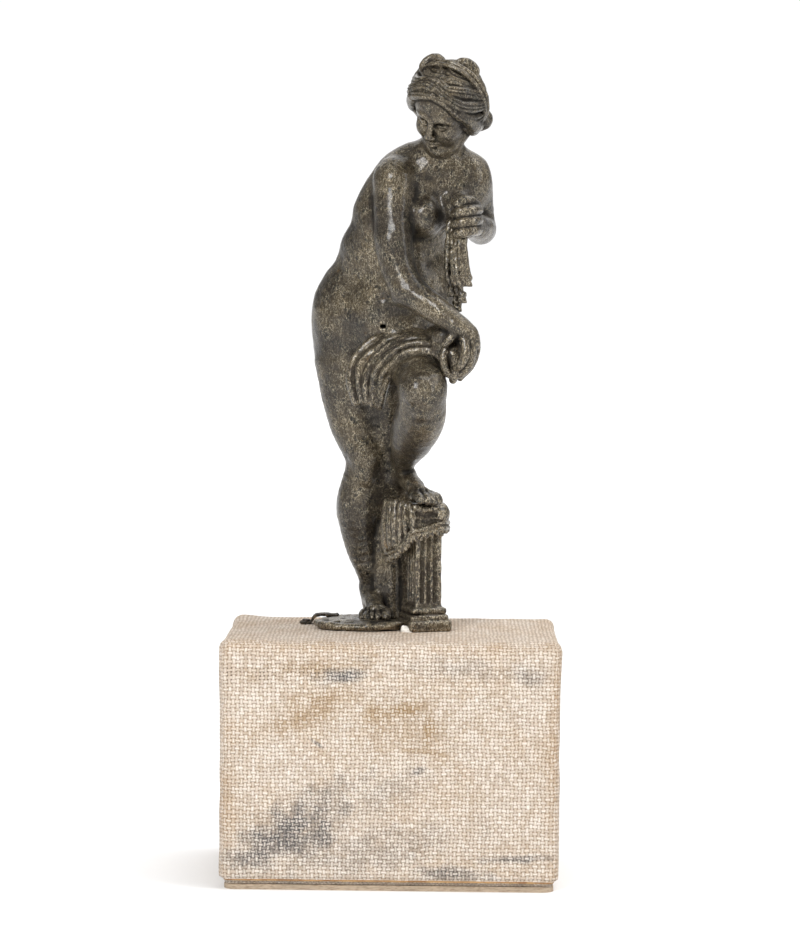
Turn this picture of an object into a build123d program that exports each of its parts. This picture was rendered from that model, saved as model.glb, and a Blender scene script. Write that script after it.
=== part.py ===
"""A bronze statuette of a bathing woman, one foot on a draped pillar, fixed to a cloth-covered wooden block.

Units are millimetres. +Z is up, the woman faces -Y, and the origin is the centre of the block's underside.
The block stands on a thin card. Two studs rise through it, one into the standing heel, one into the pillar.
"""

import math
import os

from build123d import *

# ---- Driving dimensions -------------------------------------------------------------------------------------

block_width = 94.0
block_depth = 62.0
block_height = 69.5
corner_radius = 3.2

cloth = 1.1  # thickness of the linen cover
cloth_turn_in = 11.0  # how far the cover runs in under the wood
card_thickness = 1.4
card_inset = 1.2

plate_thickness = 2.3

pillar_centre = (8.9, -1.2)
pillar_turn = 20.0  # degrees about the vertical
pillar_height = 35.0
plinth_side = 13.0
plinth_height = 3.4
moulding_sides = (12.0, 10.9)
moulding_height = 1.3
shaft_foot_side = 8.2
shaft_head_side = 7.6
cap_side = 8.8
cap_height = 5.4
flute_width = 1.1
flute_pitch = 2.0
flute_depth = 0.45
cloth_drop = 11.5  # how far the pillar's cloth hangs below its top
cloth_side = 0.9
cloth_top = 2.2

putty_radius = 1.5

stud_radius = 1.25
stud_grip = 9.0  # how far each stud enters the bronze
washer_radius = 3.5
washer_thickness = 0.8
nut_flats = 5.0
nut_thickness = 2.0
pocket_radius = 6.0
pocket_depth = 13.0
stud_tail = 1.5

tack_head_radius = 1.5
tack_head_height = 0.5
tack_shank_radius = 0.45
tack_length = 8.0

clip_width = 5.0
clip_thickness = 0.8
clip_tail_x = -27.0  # the end of the clip that is nailed to the block
clip_foot_x = -22.6  # where it bends up at the plate's edge
clip_tip_x = -15.2  # the end that bears on the plate
clip_y = 11.5
clip_nail_x = -25.2
clip_nail_radius = 0.55
clip_nail_head_radius = 1.2
clip_nail_head_height = 0.6
clip_nail_length = 9.0
nail_taper = 2  # degrees, on the clip's nail and on the tacks

# ---- Levels and places worked out from them ------------------------------------------------------------------

cover_bottom = card_thickness
core_bottom = cover_bottom + cloth
core_top = block_height - cloth
plate_top = block_height + plate_thickness
pillar_top = block_height + pillar_height
pocket_ceiling = core_bottom + pocket_depth

heel_stud = (-6.0, 12.5)
pillar_plane = Plane(
    origin=(pillar_centre[0], pillar_centre[1], block_height),
    x_dir=(math.cos(math.radians(pillar_turn)), math.sin(math.radians(pillar_turn)), 0),
    z_dir=(0, 0, 1),
)

# The woman's joints, as points in space.
seat = [(Vector(-12.4, 13.0, 153), 9.6), (Vector(-0.6, 12.4, 153), 9.3)]
breasts = [(Vector(5.4, -10.2, 190.5), 4.9), (Vector(14.6, -11.6, 190), 4.7)]
hip_right = Vector(-12.0, 9.5, 158)
knee_right = Vector(-9.0, 8, 118)
ankle_right = Vector(-5.8, 12, 79)
heel_right = Vector(-6.2, 16.5, 75.0)
toe_right = Vector(-4.8, 1.5, 73.6)
hip_left = Vector(0.0, 6.5, 157)
knee_left = Vector(7.8, -20.5, 139)
ankle_left = Vector(2.8, 7, 113)
heel_left = Vector(2.2, 11, 110)
toe_left = Vector(9.4, -7, 108.2)
neck_base = Vector(11.2, -8, 200)
jaw = Vector(13.2, -15.5, 209.5)
crown = Vector(15.0, -12.5, 224)
nape_bun = Vector(21.8, -7.5, 214.5)
knot_right = Vector(9.6, -15, 230.0)
knot_left = Vector(19.4, -14, 228.2)
shoulder_right = Vector(-0.2, -10.5, 195.5)
elbow_right = Vector(3.6, -15.5, 166.5)
wrist_right = Vector(18.4, -23.5, 156.8)
fingers_right = Vector(18.8, -22, 145)
shoulder_left = Vector(21.4, -3.5, 199)
elbow_left = Vector(24.6, 9, 182.6)
fist_left = Vector(20.0, -16.5, 186)

# The post under her raised heel, and the web of bronze left above it between her legs.
post_foot = Vector(0.0, 10.0, 73)
post_head = Vector(1.4, 10.4, 107.5)
web_foot = Vector(-0.8, 8.6, 107)
web_head = Vector(-2.6, 7.4, 138)


def fresh_parts_folder():
    """Makes parts/ and removes what an earlier run left in it."""
    os.makedirs("parts", exist_ok=True)
    for name in os.listdir("parts"):
        if name.endswith(".step"):
            os.remove(os.path.join("parts", name))


def limb(start, end, radii):
    """A limb turned about the line from start to end. radii are spread evenly along it, and a ball rounds each end."""
    along = end - start
    side = along.cross(Vector(0.31, 0.87, 0.2)).normalized()
    plane = Plane(origin=start, x_dir=along.normalized(), z_dir=side)
    step = along.length / (len(radii) - 1)
    points = [(step * i, radius) for i, radius in enumerate(radii)]
    with BuildSketch(plane) as outline:
        with BuildLine():
            Spline(*points)
            Polyline(points[-1], (along.length, 0), (0, 0), points[0])
        make_face()
    revolve(outline.sketch, axis=Axis(start, along))
    ball(start, radii[0])
    ball(end, radii[-1])


def ball(centre, radius):
    """A joint's ball is a little larger than the limb that ends in it."""
    with Locations(centre):
        Sphere(1.03 * radius)


def upright_stud(x, y, top):
    """A plain stud from under its nut up to a level inside the bronze."""
    bottom = pocket_ceiling - washer_thickness - nut_thickness - stud_tail
    with BuildSketch(Plane((x, y, bottom))) as outline:
        Circle(stud_radius)
    extrude(outline.sketch, amount=top - bottom)


def save(part, name):
    part.label = name
    export_step(part, f"parts/{name}.step")


fresh_parts_folder()

# ---- Fixings: studs, washers and nuts, which hold the bronze down --------------------------------------------

with BuildPart() as heel_fixing:
    upright_stud(*heel_stud, plate_top + stud_grip)

with BuildPart() as pillar_fixing:
    upright_stud(*pillar_centre, block_height + stud_grip)

stud_places = [heel_stud, pillar_centre]

with BuildPart() as washers:
    with BuildSketch(Plane.XY.offset(pocket_ceiling - washer_thickness)):
        with Locations(*stud_places):
            Circle(washer_radius)
            Circle(stud_radius, mode=Mode.SUBTRACT)
    extrude(amount=washer_thickness)

with BuildPart() as nuts:
    with BuildSketch(Plane.XY.offset(pocket_ceiling - washer_thickness - nut_thickness)):
        with Locations(*stud_places):
            RegularPolygon(nut_flats / 2, 6, major_radius=False)
            Circle(stud_radius, mode=Mode.SUBTRACT)
    extrude(amount=nut_thickness)

with BuildPart() as clip_nail:
    clip_top = block_height + clip_thickness
    with BuildSketch(Plane((clip_nail_x, clip_y, clip_top))):
        Circle(clip_nail_head_radius)
    extrude(amount=clip_nail_head_height)
    fillet(clip_nail.edges().group_by(Axis.Z)[-1], 0.35)
    with BuildSketch(Plane((clip_nail_x, clip_y, clip_top))):
        Circle(clip_nail_radius)
    extrude(amount=-clip_nail_length, taper=nail_taper)

# ---- The block: wooden core, linen cover with its tacks, and the card underneath ------------------------------

tack_x = block_width / 2 - cloth - cloth_turn_in / 2
tack_y = block_depth / 2 - cloth - cloth_turn_in / 2
tack_places = [(side * tack_x, share * tack_y) for side in (-1, 1) for share in (-0.4, 0.4)]
tack_places += [(share * tack_x, side * tack_y) for side in (-1, 1) for share in (-0.66, 0, 0.66)]

with BuildPart() as tacks:
    with BuildSketch(Plane.XY.offset(cover_bottom)):
        with Locations(*tack_places):
            Circle(tack_head_radius)
    extrude(amount=tack_head_height)
    with BuildSketch(Plane.XY.offset(cover_bottom + tack_head_height)):
        with Locations(*tack_places):
            Circle(tack_shank_radius)
    extrude(amount=tack_length, taper=nail_taper)

with BuildPart() as core:
    with BuildSketch(Plane.XY.offset(core_bottom)):
        RectangleRounded(block_width - 2 * cloth, block_depth - 2 * cloth, corner_radius - cloth)
    extrude(amount=core_top - core_bottom)
    fillet(core.faces().sort_by(Axis.Z)[-1].edges(), corner_radius - cloth - 0.6)
    with Locations(*[(x, y, core_bottom) for x, y in stud_places]):
        Cylinder(pocket_radius, pocket_depth, align=(Align.CENTER, Align.CENTER, Align.MIN), mode=Mode.SUBTRACT)
        Cylinder(stud_radius, block_height, align=(Align.CENTER, Align.CENTER, Align.MIN), mode=Mode.SUBTRACT)
    add(tacks.part, mode=Mode.SUBTRACT)
    add(clip_nail.part, mode=Mode.SUBTRACT)

with BuildPart() as cover:
    with BuildSketch(Plane.XY.offset(cover_bottom)):
        RectangleRounded(block_width, block_depth, corner_radius)
    extrude(amount=block_height - cover_bottom)
    fillet(cover.faces().sort_by(Axis.Z)[-1].edges(), corner_radius - 0.6)
    with BuildSketch(Plane.XY.offset(core_bottom)):
        RectangleRounded(block_width - 2 * cloth, block_depth - 2 * cloth, corner_radius - cloth)
    extrude(amount=core_top - core_bottom, mode=Mode.SUBTRACT)
    with BuildSketch(Plane.XY.offset(cover_bottom)):
        RectangleRounded(
            block_width - 2 * (cloth + cloth_turn_in), block_depth - 2 * (cloth + cloth_turn_in), corner_radius
        )
    extrude(amount=cloth, mode=Mode.SUBTRACT)
    with Locations(*[(x, y, core_top) for x, y in stud_places]):
        Cylinder(stud_radius, 4 * cloth, mode=Mode.SUBTRACT)
    add(tacks.part, mode=Mode.SUBTRACT)
    add(clip_nail.part, mode=Mode.SUBTRACT)

with BuildPart() as card:
    with BuildSketch(Plane.XY):
        RectangleRounded(block_width - 2 * card_inset, block_depth - 2 * card_inset, corner_radius)
    extrude(amount=card_thickness)
    chamfer(card.edges().group_by(Axis.Z)[-1], 0.25)

# ---- The pillar: plinth, mouldings, fluted shaft and cap -------------------------------------------------------


def pillar_square(side, level):
    with BuildSketch(pillar_plane.offset(level)) as square:
        Rectangle(side, side)
    return square.sketch


with BuildPart() as pillar:
    with BuildSketch(pillar_plane):
        RectangleRounded(plinth_side, plinth_side, 0.8)
    extrude(amount=plinth_height)
    for number, side in enumerate(moulding_sides):
        extrude(pillar_square(side, plinth_height + number * moulding_height), amount=moulding_height)
        fillet(pillar.faces().sort_by(Axis.Z)[-1].edges(), 0.45)
    shaft_bottom = plinth_height + len(moulding_sides) * moulding_height
    shaft_top = pillar_height - cap_height
    loft([pillar_square(shaft_foot_side, shaft_bottom), pillar_square(shaft_head_side, shaft_top)])
    for quarter in range(4):
        outward = pillar_plane.x_dir.rotate(Axis.Z, 90 * quarter)
        middle = pillar_plane.from_local_coords(Vector(0, 0, (shaft_bottom + shaft_top) / 2))
        side_plane = Plane(origin=middle, x_dir=(0, 0, 1), z_dir=outward)
        with BuildSketch(side_plane.offset(shaft_head_side / 2 - flute_depth)):
            with GridLocations(1, flute_pitch, 1, 3):
                SlotOverall(shaft_top - shaft_bottom - 3, flute_width)
        extrude(amount=2 * flute_depth, mode=Mode.SUBTRACT)
    extrude(pillar_square(cap_side, shaft_top), amount=cap_height)
    with Locations((pillar_centre[0], pillar_centre[1], block_height)):
        Cylinder(stud_radius, stud_grip, align=(Align.CENTER, Align.CENTER, Align.MIN), mode=Mode.SUBTRACT)

# ---- The base plate: a thin oval with a bite beside the pillar -------------------------------------------------

with BuildPart() as plate:
    with BuildSketch(Plane.XY.offset(block_height)):
        with BuildLine():
            Spline(
                (-22, 4),
                (-18, -5.5),
                (-8, -9),
                (1.5, -7.5),
                (3.0, -3.5),
                (3.4, 3),
                (6, 8.5),
                (8.5, 15),
                (2, 21.5),
                (-9, 23),
                (-19, 17),
                periodic=True,
            )
        make_face()
    extrude(amount=plate_thickness)
    fillet(plate.edges().group_by(Axis.Z)[-1], 0.7)
    add(heel_fixing.part, mode=Mode.SUBTRACT)
    add(pillar.part, mode=Mode.SUBTRACT)

# ---- The woman: one casting of body, head, arms and legs ------------------------------------------------------

with BuildPart() as woman:
    # Trunk, from the seat up over the waist to the shoulders, leaning forward.
    for centre, width, depth in (
        (Vector(-6.2, 9.0, 145), 22, 15),
        (Vector(-6.5, 9.4, 151), 30.5, 22),
        (Vector(-6.6, 8.6, 159), 32, 23),
        (Vector(-4.8, 6.4, 168), 28.5, 20),
        (Vector(-1.2, 3.0, 178), 25, 16.5),
        (Vector(5.0, -2.0, 189), 27, 18),
        (Vector(10.6, -5.6, 198), 25, 14),
        (Vector(11.2, -7.0, 202), 14, 10),
    ):
        with BuildSketch(Plane(centre, z_dir=(0.22, -0.3, 1))):
            Ellipse(width / 2, depth / 2)
    loft()
    for centre, radius in seat + breasts:
        ball(centre, radius)
    limb(hip_right, knee_right, [10.2, 10.2, 9.2, 7.8, 6.2, 5.6])
    limb(knee_right, ankle_right, [5.4, 6.1, 6.6, 5.4, 4.0, 3.2])
    limb(heel_right, toe_right, [2.9, 3.0, 2.6, 1.9])
    limb(hip_left, knee_left, [9.8, 9.6, 8.8, 7.6, 6.5])
    limb(knee_left, ankle_left, [6.0, 6.6, 5.8, 4.2, 3.0])
    limb(heel_left, toe_left, [2.8, 2.9, 2.5, 1.8])
    limb(neck_base, jaw, [5.2, 4.5, 4.6])
    limb(jaw, crown, [4.4, 8.6, 9.4, 7.4])
    ball(nape_bun, 3.8)
    ball(knot_right, 3.0)
    ball(knot_left, 2.9)
    limb(shoulder_right, elbow_right, [6.0, 5.5, 5.4, 4.5])
    limb(elbow_right, wrist_right, [4.3, 4.4, 3.8, 3.0])
    limb(wrist_right, fingers_right, [2.8, 3.9, 3.4, 2.2])
    limb(shoulder_left, elbow_left, [5.2, 4.6, 4.0])
    limb(elbow_left, fist_left, [3.8, 4.0, 3.2, 2.8])
    ball(fist_left, 3.8)
    limb(post_foot, post_head, [2.5, 2.1, 2.0, 2.2])
    limb(web_foot, web_head, [2.2, 2.4, 3.0, 3.8])
    # The bronze is cut off flat where it stands on the plate, and tapped for the heel stud.
    with BuildSketch(Plane.XY.offset(plate_top)):
        Rectangle(block_width, block_depth)
    extrude(amount=-2 * plate_thickness, mode=Mode.SUBTRACT)
    add(heel_fixing.part, mode=Mode.SUBTRACT)

# ---- Cloths: over the pillar, over her raised thigh, and the towel in her left fist ---------------------------

with BuildPart() as pillar_cloth:
    extrude(pillar_square(cap_side + 2 * cloth_side, pillar_height - cloth_drop), amount=cloth_drop + cloth_top)
    fillet(pillar_cloth.edges().filter_by(Axis.Z), 1.2)
    fillet(pillar_cloth.edges().group_by(Axis.Z)[-1], 0.9)
    # The loose fold down its left side.
    limb(Vector(1.6, -2.4, 104), Vector(0.6, -2.2, 93.5), [2.8, 2.7, 2.2, 1.5])
    add(pillar.part, mode=Mode.SUBTRACT)
    extrude(pillar_square(cap_side, shaft_bottom), amount=pillar_height - shaft_bottom, mode=Mode.SUBTRACT)
    add(woman.part, mode=Mode.SUBTRACT)

with BuildPart() as thigh_cloth:
    limb(Vector(-1.5, -2.0, 152), Vector(4.8, -16.0, 140.5), [10.2, 10.4, 9.8, 8.6])
    limb(Vector(-6, -6.5, 148), Vector(-5.2, -8.0, 138), [4.4, 3.8, 2.8, 1.9])
    limb(Vector(9, -13, 150), Vector(18.6, -18.5, 148.5), [3.6, 3.2, 2.4])
    add(woman.part, mode=Mode.SUBTRACT)

with BuildPart() as towel:
    limb(fist_left + Vector(-1.2, -0.6, -2.5), Vector(17.4, -18, 171), [2.6, 2.8, 2.2])
    limb(Vector(17.4, -18, 171), Vector(17.7, -18.4, 164.6), [2.1, 1.7, 1.3])
    limb(Vector(16.4, -15.5, 184), Vector(15.2, -15.5, 168), [1.6, 2.0, 1.6, 1.1])
    add(woman.part, mode=Mode.SUBTRACT)

# ---- The clip that holds the plate down at its left, and the putty beside the pillar --------------------------

with BuildPart() as clip:
    with BuildSketch(Plane.XZ.offset(-clip_y)):
        with BuildLine():
            Polyline(
                (clip_tail_x, block_height),
                (clip_foot_x, block_height),
                (clip_foot_x, plate_top),
                (clip_tip_x, plate_top),
                (clip_tip_x, plate_top + clip_thickness),
                (clip_foot_x - clip_thickness, plate_top + clip_thickness),
                (clip_foot_x - clip_thickness, block_height + clip_thickness),
                (clip_tail_x, block_height + clip_thickness),
                close=True,
            )
        make_face()
    extrude(amount=clip_width / 2, both=True)
    fillet(clip.edges().filter_by(Axis.Y).filter_by_position(Axis.X, clip_foot_x - 1, clip_foot_x + 0.1), 0.35)
    add(clip_nail.part, mode=Mode.SUBTRACT)
    add(plate.part, mode=Mode.SUBTRACT)

with BuildPart() as putty:
    with Locations((3.6, -7.6, block_height + 0.7)):
        Sphere(putty_radius)
    with Locations((5.2, -8.6, block_height + 0.5)):
        Sphere(0.75 * putty_radius)
    with BuildSketch(Plane.XY.offset(block_height)):
        Rectangle(block_width, block_depth)
    extrude(amount=-3 * putty_radius, mode=Mode.SUBTRACT)
    add(plate.part, mode=Mode.SUBTRACT)
    add(pillar.part, mode=Mode.SUBTRACT)

for part, name in (
    (heel_fixing.part, "heel_stud"),
    (pillar_fixing.part, "pillar_stud"),
    (washers.part, "stud_washers"),
    (nuts.part, "stud_nuts"),
    (tacks.part, "cover_tacks"),
    (core.part, "wood_core"),
    (cover.part, "linen_cover"),
    (card.part, "underside_card"),
    (plate.part, "base_plate"),
    (pillar.part, "support_pillar"),
    (pillar_cloth.part, "pillar_drapery"),
    (woman.part, "figure_casting"),
    (thigh_cloth.part, "thigh_drapery"),
    (towel.part, "hanging_towel"),
    (clip.part, "retaining_clip"),
    (clip_nail.part, "clip_nail"),
    (putty.part, "setting_putty"),
):
    save(part, name)
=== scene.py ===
"""The looks of a bronze bather on a linen-covered block. Bronze is modelled in wax first, as it was made."""

from math import cos, exp, pi, radians, sin

import bmesh
import bpy
import numpy as np
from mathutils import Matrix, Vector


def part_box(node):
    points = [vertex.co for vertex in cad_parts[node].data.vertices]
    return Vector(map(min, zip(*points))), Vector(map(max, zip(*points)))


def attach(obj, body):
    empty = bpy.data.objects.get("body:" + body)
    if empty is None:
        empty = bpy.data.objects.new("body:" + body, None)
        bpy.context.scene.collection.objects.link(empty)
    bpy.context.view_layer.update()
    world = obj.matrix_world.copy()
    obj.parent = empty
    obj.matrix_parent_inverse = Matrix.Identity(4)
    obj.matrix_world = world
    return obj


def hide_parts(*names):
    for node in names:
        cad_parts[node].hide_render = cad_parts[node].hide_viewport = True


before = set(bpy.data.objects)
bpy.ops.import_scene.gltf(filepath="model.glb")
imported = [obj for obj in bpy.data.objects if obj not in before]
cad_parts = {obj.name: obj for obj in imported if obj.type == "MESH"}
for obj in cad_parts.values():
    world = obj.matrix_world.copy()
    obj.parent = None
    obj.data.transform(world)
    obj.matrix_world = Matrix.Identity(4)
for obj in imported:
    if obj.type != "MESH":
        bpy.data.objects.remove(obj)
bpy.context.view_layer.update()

import openvdb
from mathutils import Matrix, Vector, noise

# ---- Card under the block ----------------------------------------
# A sheet of grey-brown pulp card, cut a little smaller than the block and pasted under it.
# Only its edge shows, with its layers and a few fibres pulled loose.


class Wire:
    """A value inside a material. Sums and products of wires add the nodes that work them out."""

    def __init__(self, tree, socket):
        self.tree = tree
        self.socket = socket

    def node(self, kind, settings, sockets, output=0):
        """Adds a node, with its settings first, then its sockets' values or wires."""
        made = self.tree.nodes.new(kind)
        for name, value in settings.items():
            setattr(made, name, value)
        for name, value in sockets.items():
            if isinstance(value, Wire):
                self.tree.links.new(value.socket, made.inputs[name])
            else:
                made.inputs[name].default_value = value
        return Wire(self.tree, made.outputs[output])

    def maths(self, operation, *values, clamp=False):
        values = dict(enumerate(values))
        return self.node("ShaderNodeMath", {"operation": operation, "use_clamp": clamp}, values)

    def __add__(self, other):
        return self.maths("ADD", self, other)

    def __sub__(self, other):
        return self.maths("SUBTRACT", self, other)

    def __mul__(self, other):
        return self.maths("MULTIPLY", self, other)

    def __truediv__(self, other):
        return self.maths("DIVIDE", self, other)

    __radd__ = __add__
    __rmul__ = __mul__

    def __rsub__(self, other):
        return self.maths("SUBTRACT", other, self)

    def clamped(self):
        return self.maths("ADD", self, 0.0, clamp=True)

    def power(self, exponent):
        return self.maths("POWER", self, exponent)

    def at_least(self, other):
        return self.maths("MAXIMUM", self, other)

    def step(self, low, high):
        """0 below low, 1 above high, and smooth between them."""
        sockets = {0: self, 1: low, 2: high}
        return self.node("ShaderNodeMapRange", {"interpolation_type": "SMOOTHSTEP"}, sockets)

    def grain(self, size, detail=3.0, rough=0.55, **more):
        """Noise whose patches are about size millimetres wide, on places given in millimetres."""
        sockets = {"Vector": self, "Scale": 1 / size, "Detail": detail, "Roughness": rough, **more}
        return self.node("ShaderNodeTexNoise", {}, sockets)

    def stretched(self, x, y, z):
        return self.node("ShaderNodeVectorMath", {"operation": "MULTIPLY"}, {0: self, 1: (x, y, z)})

    def parts(self):
        return [self.node("ShaderNodeSeparateXYZ", {}, {0: self}, output) for output in range(3)]

    def mixed(self, other, share, blend="MIX"):
        """This colour with another laid over it."""
        settings = {"data_type": "RGBA", "blend_type": blend}
        return self.node("ShaderNodeMix", settings, {0: share, 6: self, 7: other}, 2)


class Finish:
    """A material under construction: its shader, and places on the object in millimetres."""

    def __init__(self, name, **plain):
        self.material = bpy.data.materials.new(name)
        self.material.use_nodes = True
        self.tree = self.material.node_tree
        self.shader = self.tree.nodes["Principled BSDF"]
        for socket, value in plain.items():
            self.shader.inputs[socket.replace("_", " ")].default_value = value
        start = Wire(self.tree, None)
        place = start.node("ShaderNodeTexCoord", {}, {}, "Object")
        self.place = place.stretched(1000, 1000, 1000)

    def colour(self, rgb):
        """A plain colour as a wire, to start a mix from."""
        return self.place.mixed((*rgb, 1), 1.0)

    def feed(self, **wires):
        for socket, wire in wires.items():
            self.tree.links.new(wire.socket, self.shader.inputs[socket.replace("_", " ")])

    def relief(self, height, depth, strength=1.0):
        """Bumps of that many millimetres from a height between 0 and 1."""
        sockets = {"Height": height, "Distance": depth / 1000, "Strength": strength}
        bump = height.node("ShaderNodeBump", {}, sockets)
        self.tree.links.new(bump.socket, self.shader.inputs["Normal"])
        return bump


card = Finish("pulp_card", Roughness=0.92)
fibre = card.place.stretched(1, 1, 6).grain(1.6, 6.0)
layers = card.place.stretched(0.1, 0.1, 5).grain(1.0, 2.0)
tone = card.colour((0.48, 0.38, 0.28)).mixed((0.26, 0.19, 0.13, 1), fibre.step(0.45, 0.7))
card.feed(Base_Color=tone.mixed((0.30, 0.24, 0.17, 1), layers.step(0.5, 0.62) * 0.6))
card.relief(fibre + layers, 0.15)
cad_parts["underside_card"].data.materials.clear()
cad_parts["underside_card"].data.materials.append(card.material)

# ---- Wooden core and the hidden fixings --------------------------
# A sawn softwood block carries the bronze. Two steel studs come up through it, each drawn down by a washer and
# nut in a pocket, and iron tacks hold the cover's turned-in edge. A small iron nail holds the clip.


def paint(node, finish):
    """Gives a solid of the frame its material, and leaves its shape alone."""
    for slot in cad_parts[node].material_slots:
        slot.material = finish.material


wood = Finish("sawn_pine", Roughness=0.75)
rings = wood.place.stretched(0.35, 0.35, 0.03).grain(3.0, 3.0, Distortion=1.5)
grain = wood.place.stretched(3, 3, 0.12).grain(0.6, 5.0)
pine = wood.colour((0.5, 0.3, 0.13)).mixed((0.28, 0.14, 0.05, 1), rings.step(0.4, 0.65))
wood.feed(Base_Color=pine.mixed((0.62, 0.42, 0.22, 1), grain.step(0.5, 0.75) * 0.5))
wood.relief(grain, 0.08)
paint("wood_core", wood)

steel = Finish("turned_steel", Metallic=1.0)
turning = steel.place.stretched(0.4, 0.4, 6).grain(0.5, 3.0)
stained = steel.place.grain(1.2).step(0.55, 0.75)
steel.feed(
    Base_Color=steel.colour((0.42, 0.42, 0.43)).mixed((0.2, 0.14, 0.1, 1), stained),
    Roughness=turning * 0.3 + 0.2,
)
steel.relief(turning, 0.02)
for node in ("heel_stud", "pillar_stud", "stud_washers", "stud_nuts"):
    paint(node, steel)

iron = Finish("blued_iron", Metallic=0.8)
rust = iron.place.grain(0.9, 5.0).step(0.5, 0.7)
iron.feed(
    Base_Color=iron.colour((0.06, 0.05, 0.045)).mixed((0.2, 0.08, 0.03, 1), rust),
    Metallic=0.9 - rust * 0.8,
    Roughness=rust * 0.35 + 0.4,
)
iron.relief(iron.place.grain(0.5, 4.0), 0.05)
for node in ("cover_tacks", "clip_nail"):
    paint(node, iron)

# ---- Linen cover -------------------------------------------------
# One piece of coarse plain-weave linen, pulled over the block, folded flat at the corners and tacked
# underneath. Its threads are about 1.1 mm apart, with painted shade between them and a painted highlight on
# their crowns. It is browned at the edges, stained grey at the lower left, and worn open above, with painted
# shade in the holes.


def room_for(node):
    """The lowest and highest corners of a solid of the frame, in millimetres."""
    return (np.array(corner) * 1000 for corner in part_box(node))


block_low, block_high = room_for("linen_cover")
thread = 1.1
cover_round = 2.6
cover_grid = 1.1


def wander(place, size, seed):
    """Smooth noise from -1 to 1 at a place in millimetres."""
    return noise.noise(Vector(place) / size + Vector((seed * 7.3, seed * 3.1, seed * 5.7)))


def cover_skin(p, normal):
    """Where a point of the plain box goes on the pulled cloth: rounded, dished, and bulky at the folds."""
    low, high = block_low + cover_round, block_high - cover_round
    low[2] = block_low[2] + 1.2
    inner = np.clip(p, low, high)
    out = p - inner
    length = np.linalg.norm(out)
    if length > 1e-9:
        out = out / length
        p = inner + out * (cover_round if p[2] > low[2] else min(length, 1.2))
    else:
        out = np.array(normal, float)
    x, y, z = p
    rise = (z - block_low[2]) / (block_high[2] - block_low[2])
    swell = 0.22 * wander(p, 17, 1) + 0.10 * wander(p, 6, 2)
    near_corner = max(0, 1 - (block_high[0] - abs(x)) / 9) * max(0, 1 - (block_high[1] - abs(y)) / 9)
    swell += 0.5 * near_corner * (0.5 + 0.5 * wander((x, y, z), 9, 3))
    swell -= 0.35 * sin(pi * min(max(rise, 0), 1)) * (1 - near_corner)
    # The cloth is gathered thickest where it folds over the top corners at the left and at the back.
    fold = exp(-(((x + 45) / 5) ** 2) - ((y - 27) / 7) ** 2 - ((z - 67) / 7) ** 2)
    fold += 0.6 * exp(-(((x - 45) / 4) ** 2) - ((y + 29) / 5) ** 2 - ((z - 65) / 6) ** 2)
    fold += 0.5 * exp(-(((x + 46) / 4) ** 2) - ((y + 30) / 5) ** 2 - ((z - 62) / 9) ** 2)
    swell += 0.55 * fold
    # A tuck runs round just above the bottom, where the hem is turned under.
    tuck = exp(-(((z - block_low[2] - 1.5) / 0.55) ** 2))
    swell -= 0.55 * tuck if abs(normal[2]) < 0.5 else 0
    return p + out * swell


cover_mesh = bmesh.new()
weave_place = cover_mesh.loops.layers.uv.new("threads")
wide, deep = block_high[0], block_high[1]
turned_in = 9.0
between = 2 * wide - 2 * turned_in
bottom, top = block_low[2], block_high[2]
# Each face: its corner, its two edges in millimetres, and its outward side.
faces = [
    ((-wide, -deep, bottom), (2 * wide, 0, 0), (0, 0, top - bottom), (0, -1, 0)),
    ((wide, -deep, bottom), (0, 2 * deep, 0), (0, 0, top - bottom), (1, 0, 0)),
    ((wide, deep, bottom), (-2 * wide, 0, 0), (0, 0, top - bottom), (0, 1, 0)),
    ((-wide, deep, bottom), (0, -2 * deep, 0), (0, 0, top - bottom), (-1, 0, 0)),
    ((-wide, -deep, top), (2 * wide, 0, 0), (0, 2 * deep, 0), (0, 0, 1)),
    ((-wide, -deep, bottom), (turned_in, 0, 0), (0, 2 * deep, 0), (0, 0, -1)),
    ((wide - turned_in, -deep, bottom), (turned_in, 0, 0), (0, 2 * deep, 0), (0, 0, -1)),
    ((turned_in - wide, -deep, bottom), (between, 0, 0), (0, turned_in, 0), (0, 0, -1)),
    ((turned_in - wide, deep - turned_in, bottom), (between, 0, 0), (0, turned_in, 0), (0, 0, -1)),
]
for number, (corner, across, up, normal) in enumerate(faces):
    corner, across, up = (np.array(v, float) for v in (corner, across, up))
    columns = max(2, round(np.linalg.norm(across) / cover_grid))
    rows = max(2, round(np.linalg.norm(up) / cover_grid))
    grid = [
        [
            cover_mesh.verts.new(cover_skin(corner + across * i / columns + up * j / rows, normal) / 1000)
            for i in range(columns + 1)
        ]
        for j in range(rows + 1)
    ]
    for j in range(rows):
        for i in range(columns):
            ring = [(i, j), (i + 1, j), (i + 1, j + 1), (i, j + 1)]
            if normal[2] < 0:
                ring.reverse()
            face = cover_mesh.faces.new([grid[b][a] for a, b in ring])
            for loop, (a, b) in zip(face.loops, ring):
                u = np.linalg.norm(across) * a / columns + 211 * number
                v = np.linalg.norm(up) * b / rows
                loop[weave_place].uv = (u, v)
bmesh.ops.remove_doubles(cover_mesh, verts=cover_mesh.verts, dist=2e-5)
for face in cover_mesh.faces:
    face.smooth = True
cover = bpy.data.objects.new("linen_cloth", bpy.data.meshes.new("linen_cloth"))
cover_mesh.to_mesh(cover.data)
cover_mesh.free()
bpy.context.collection.objects.link(cover)

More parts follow.
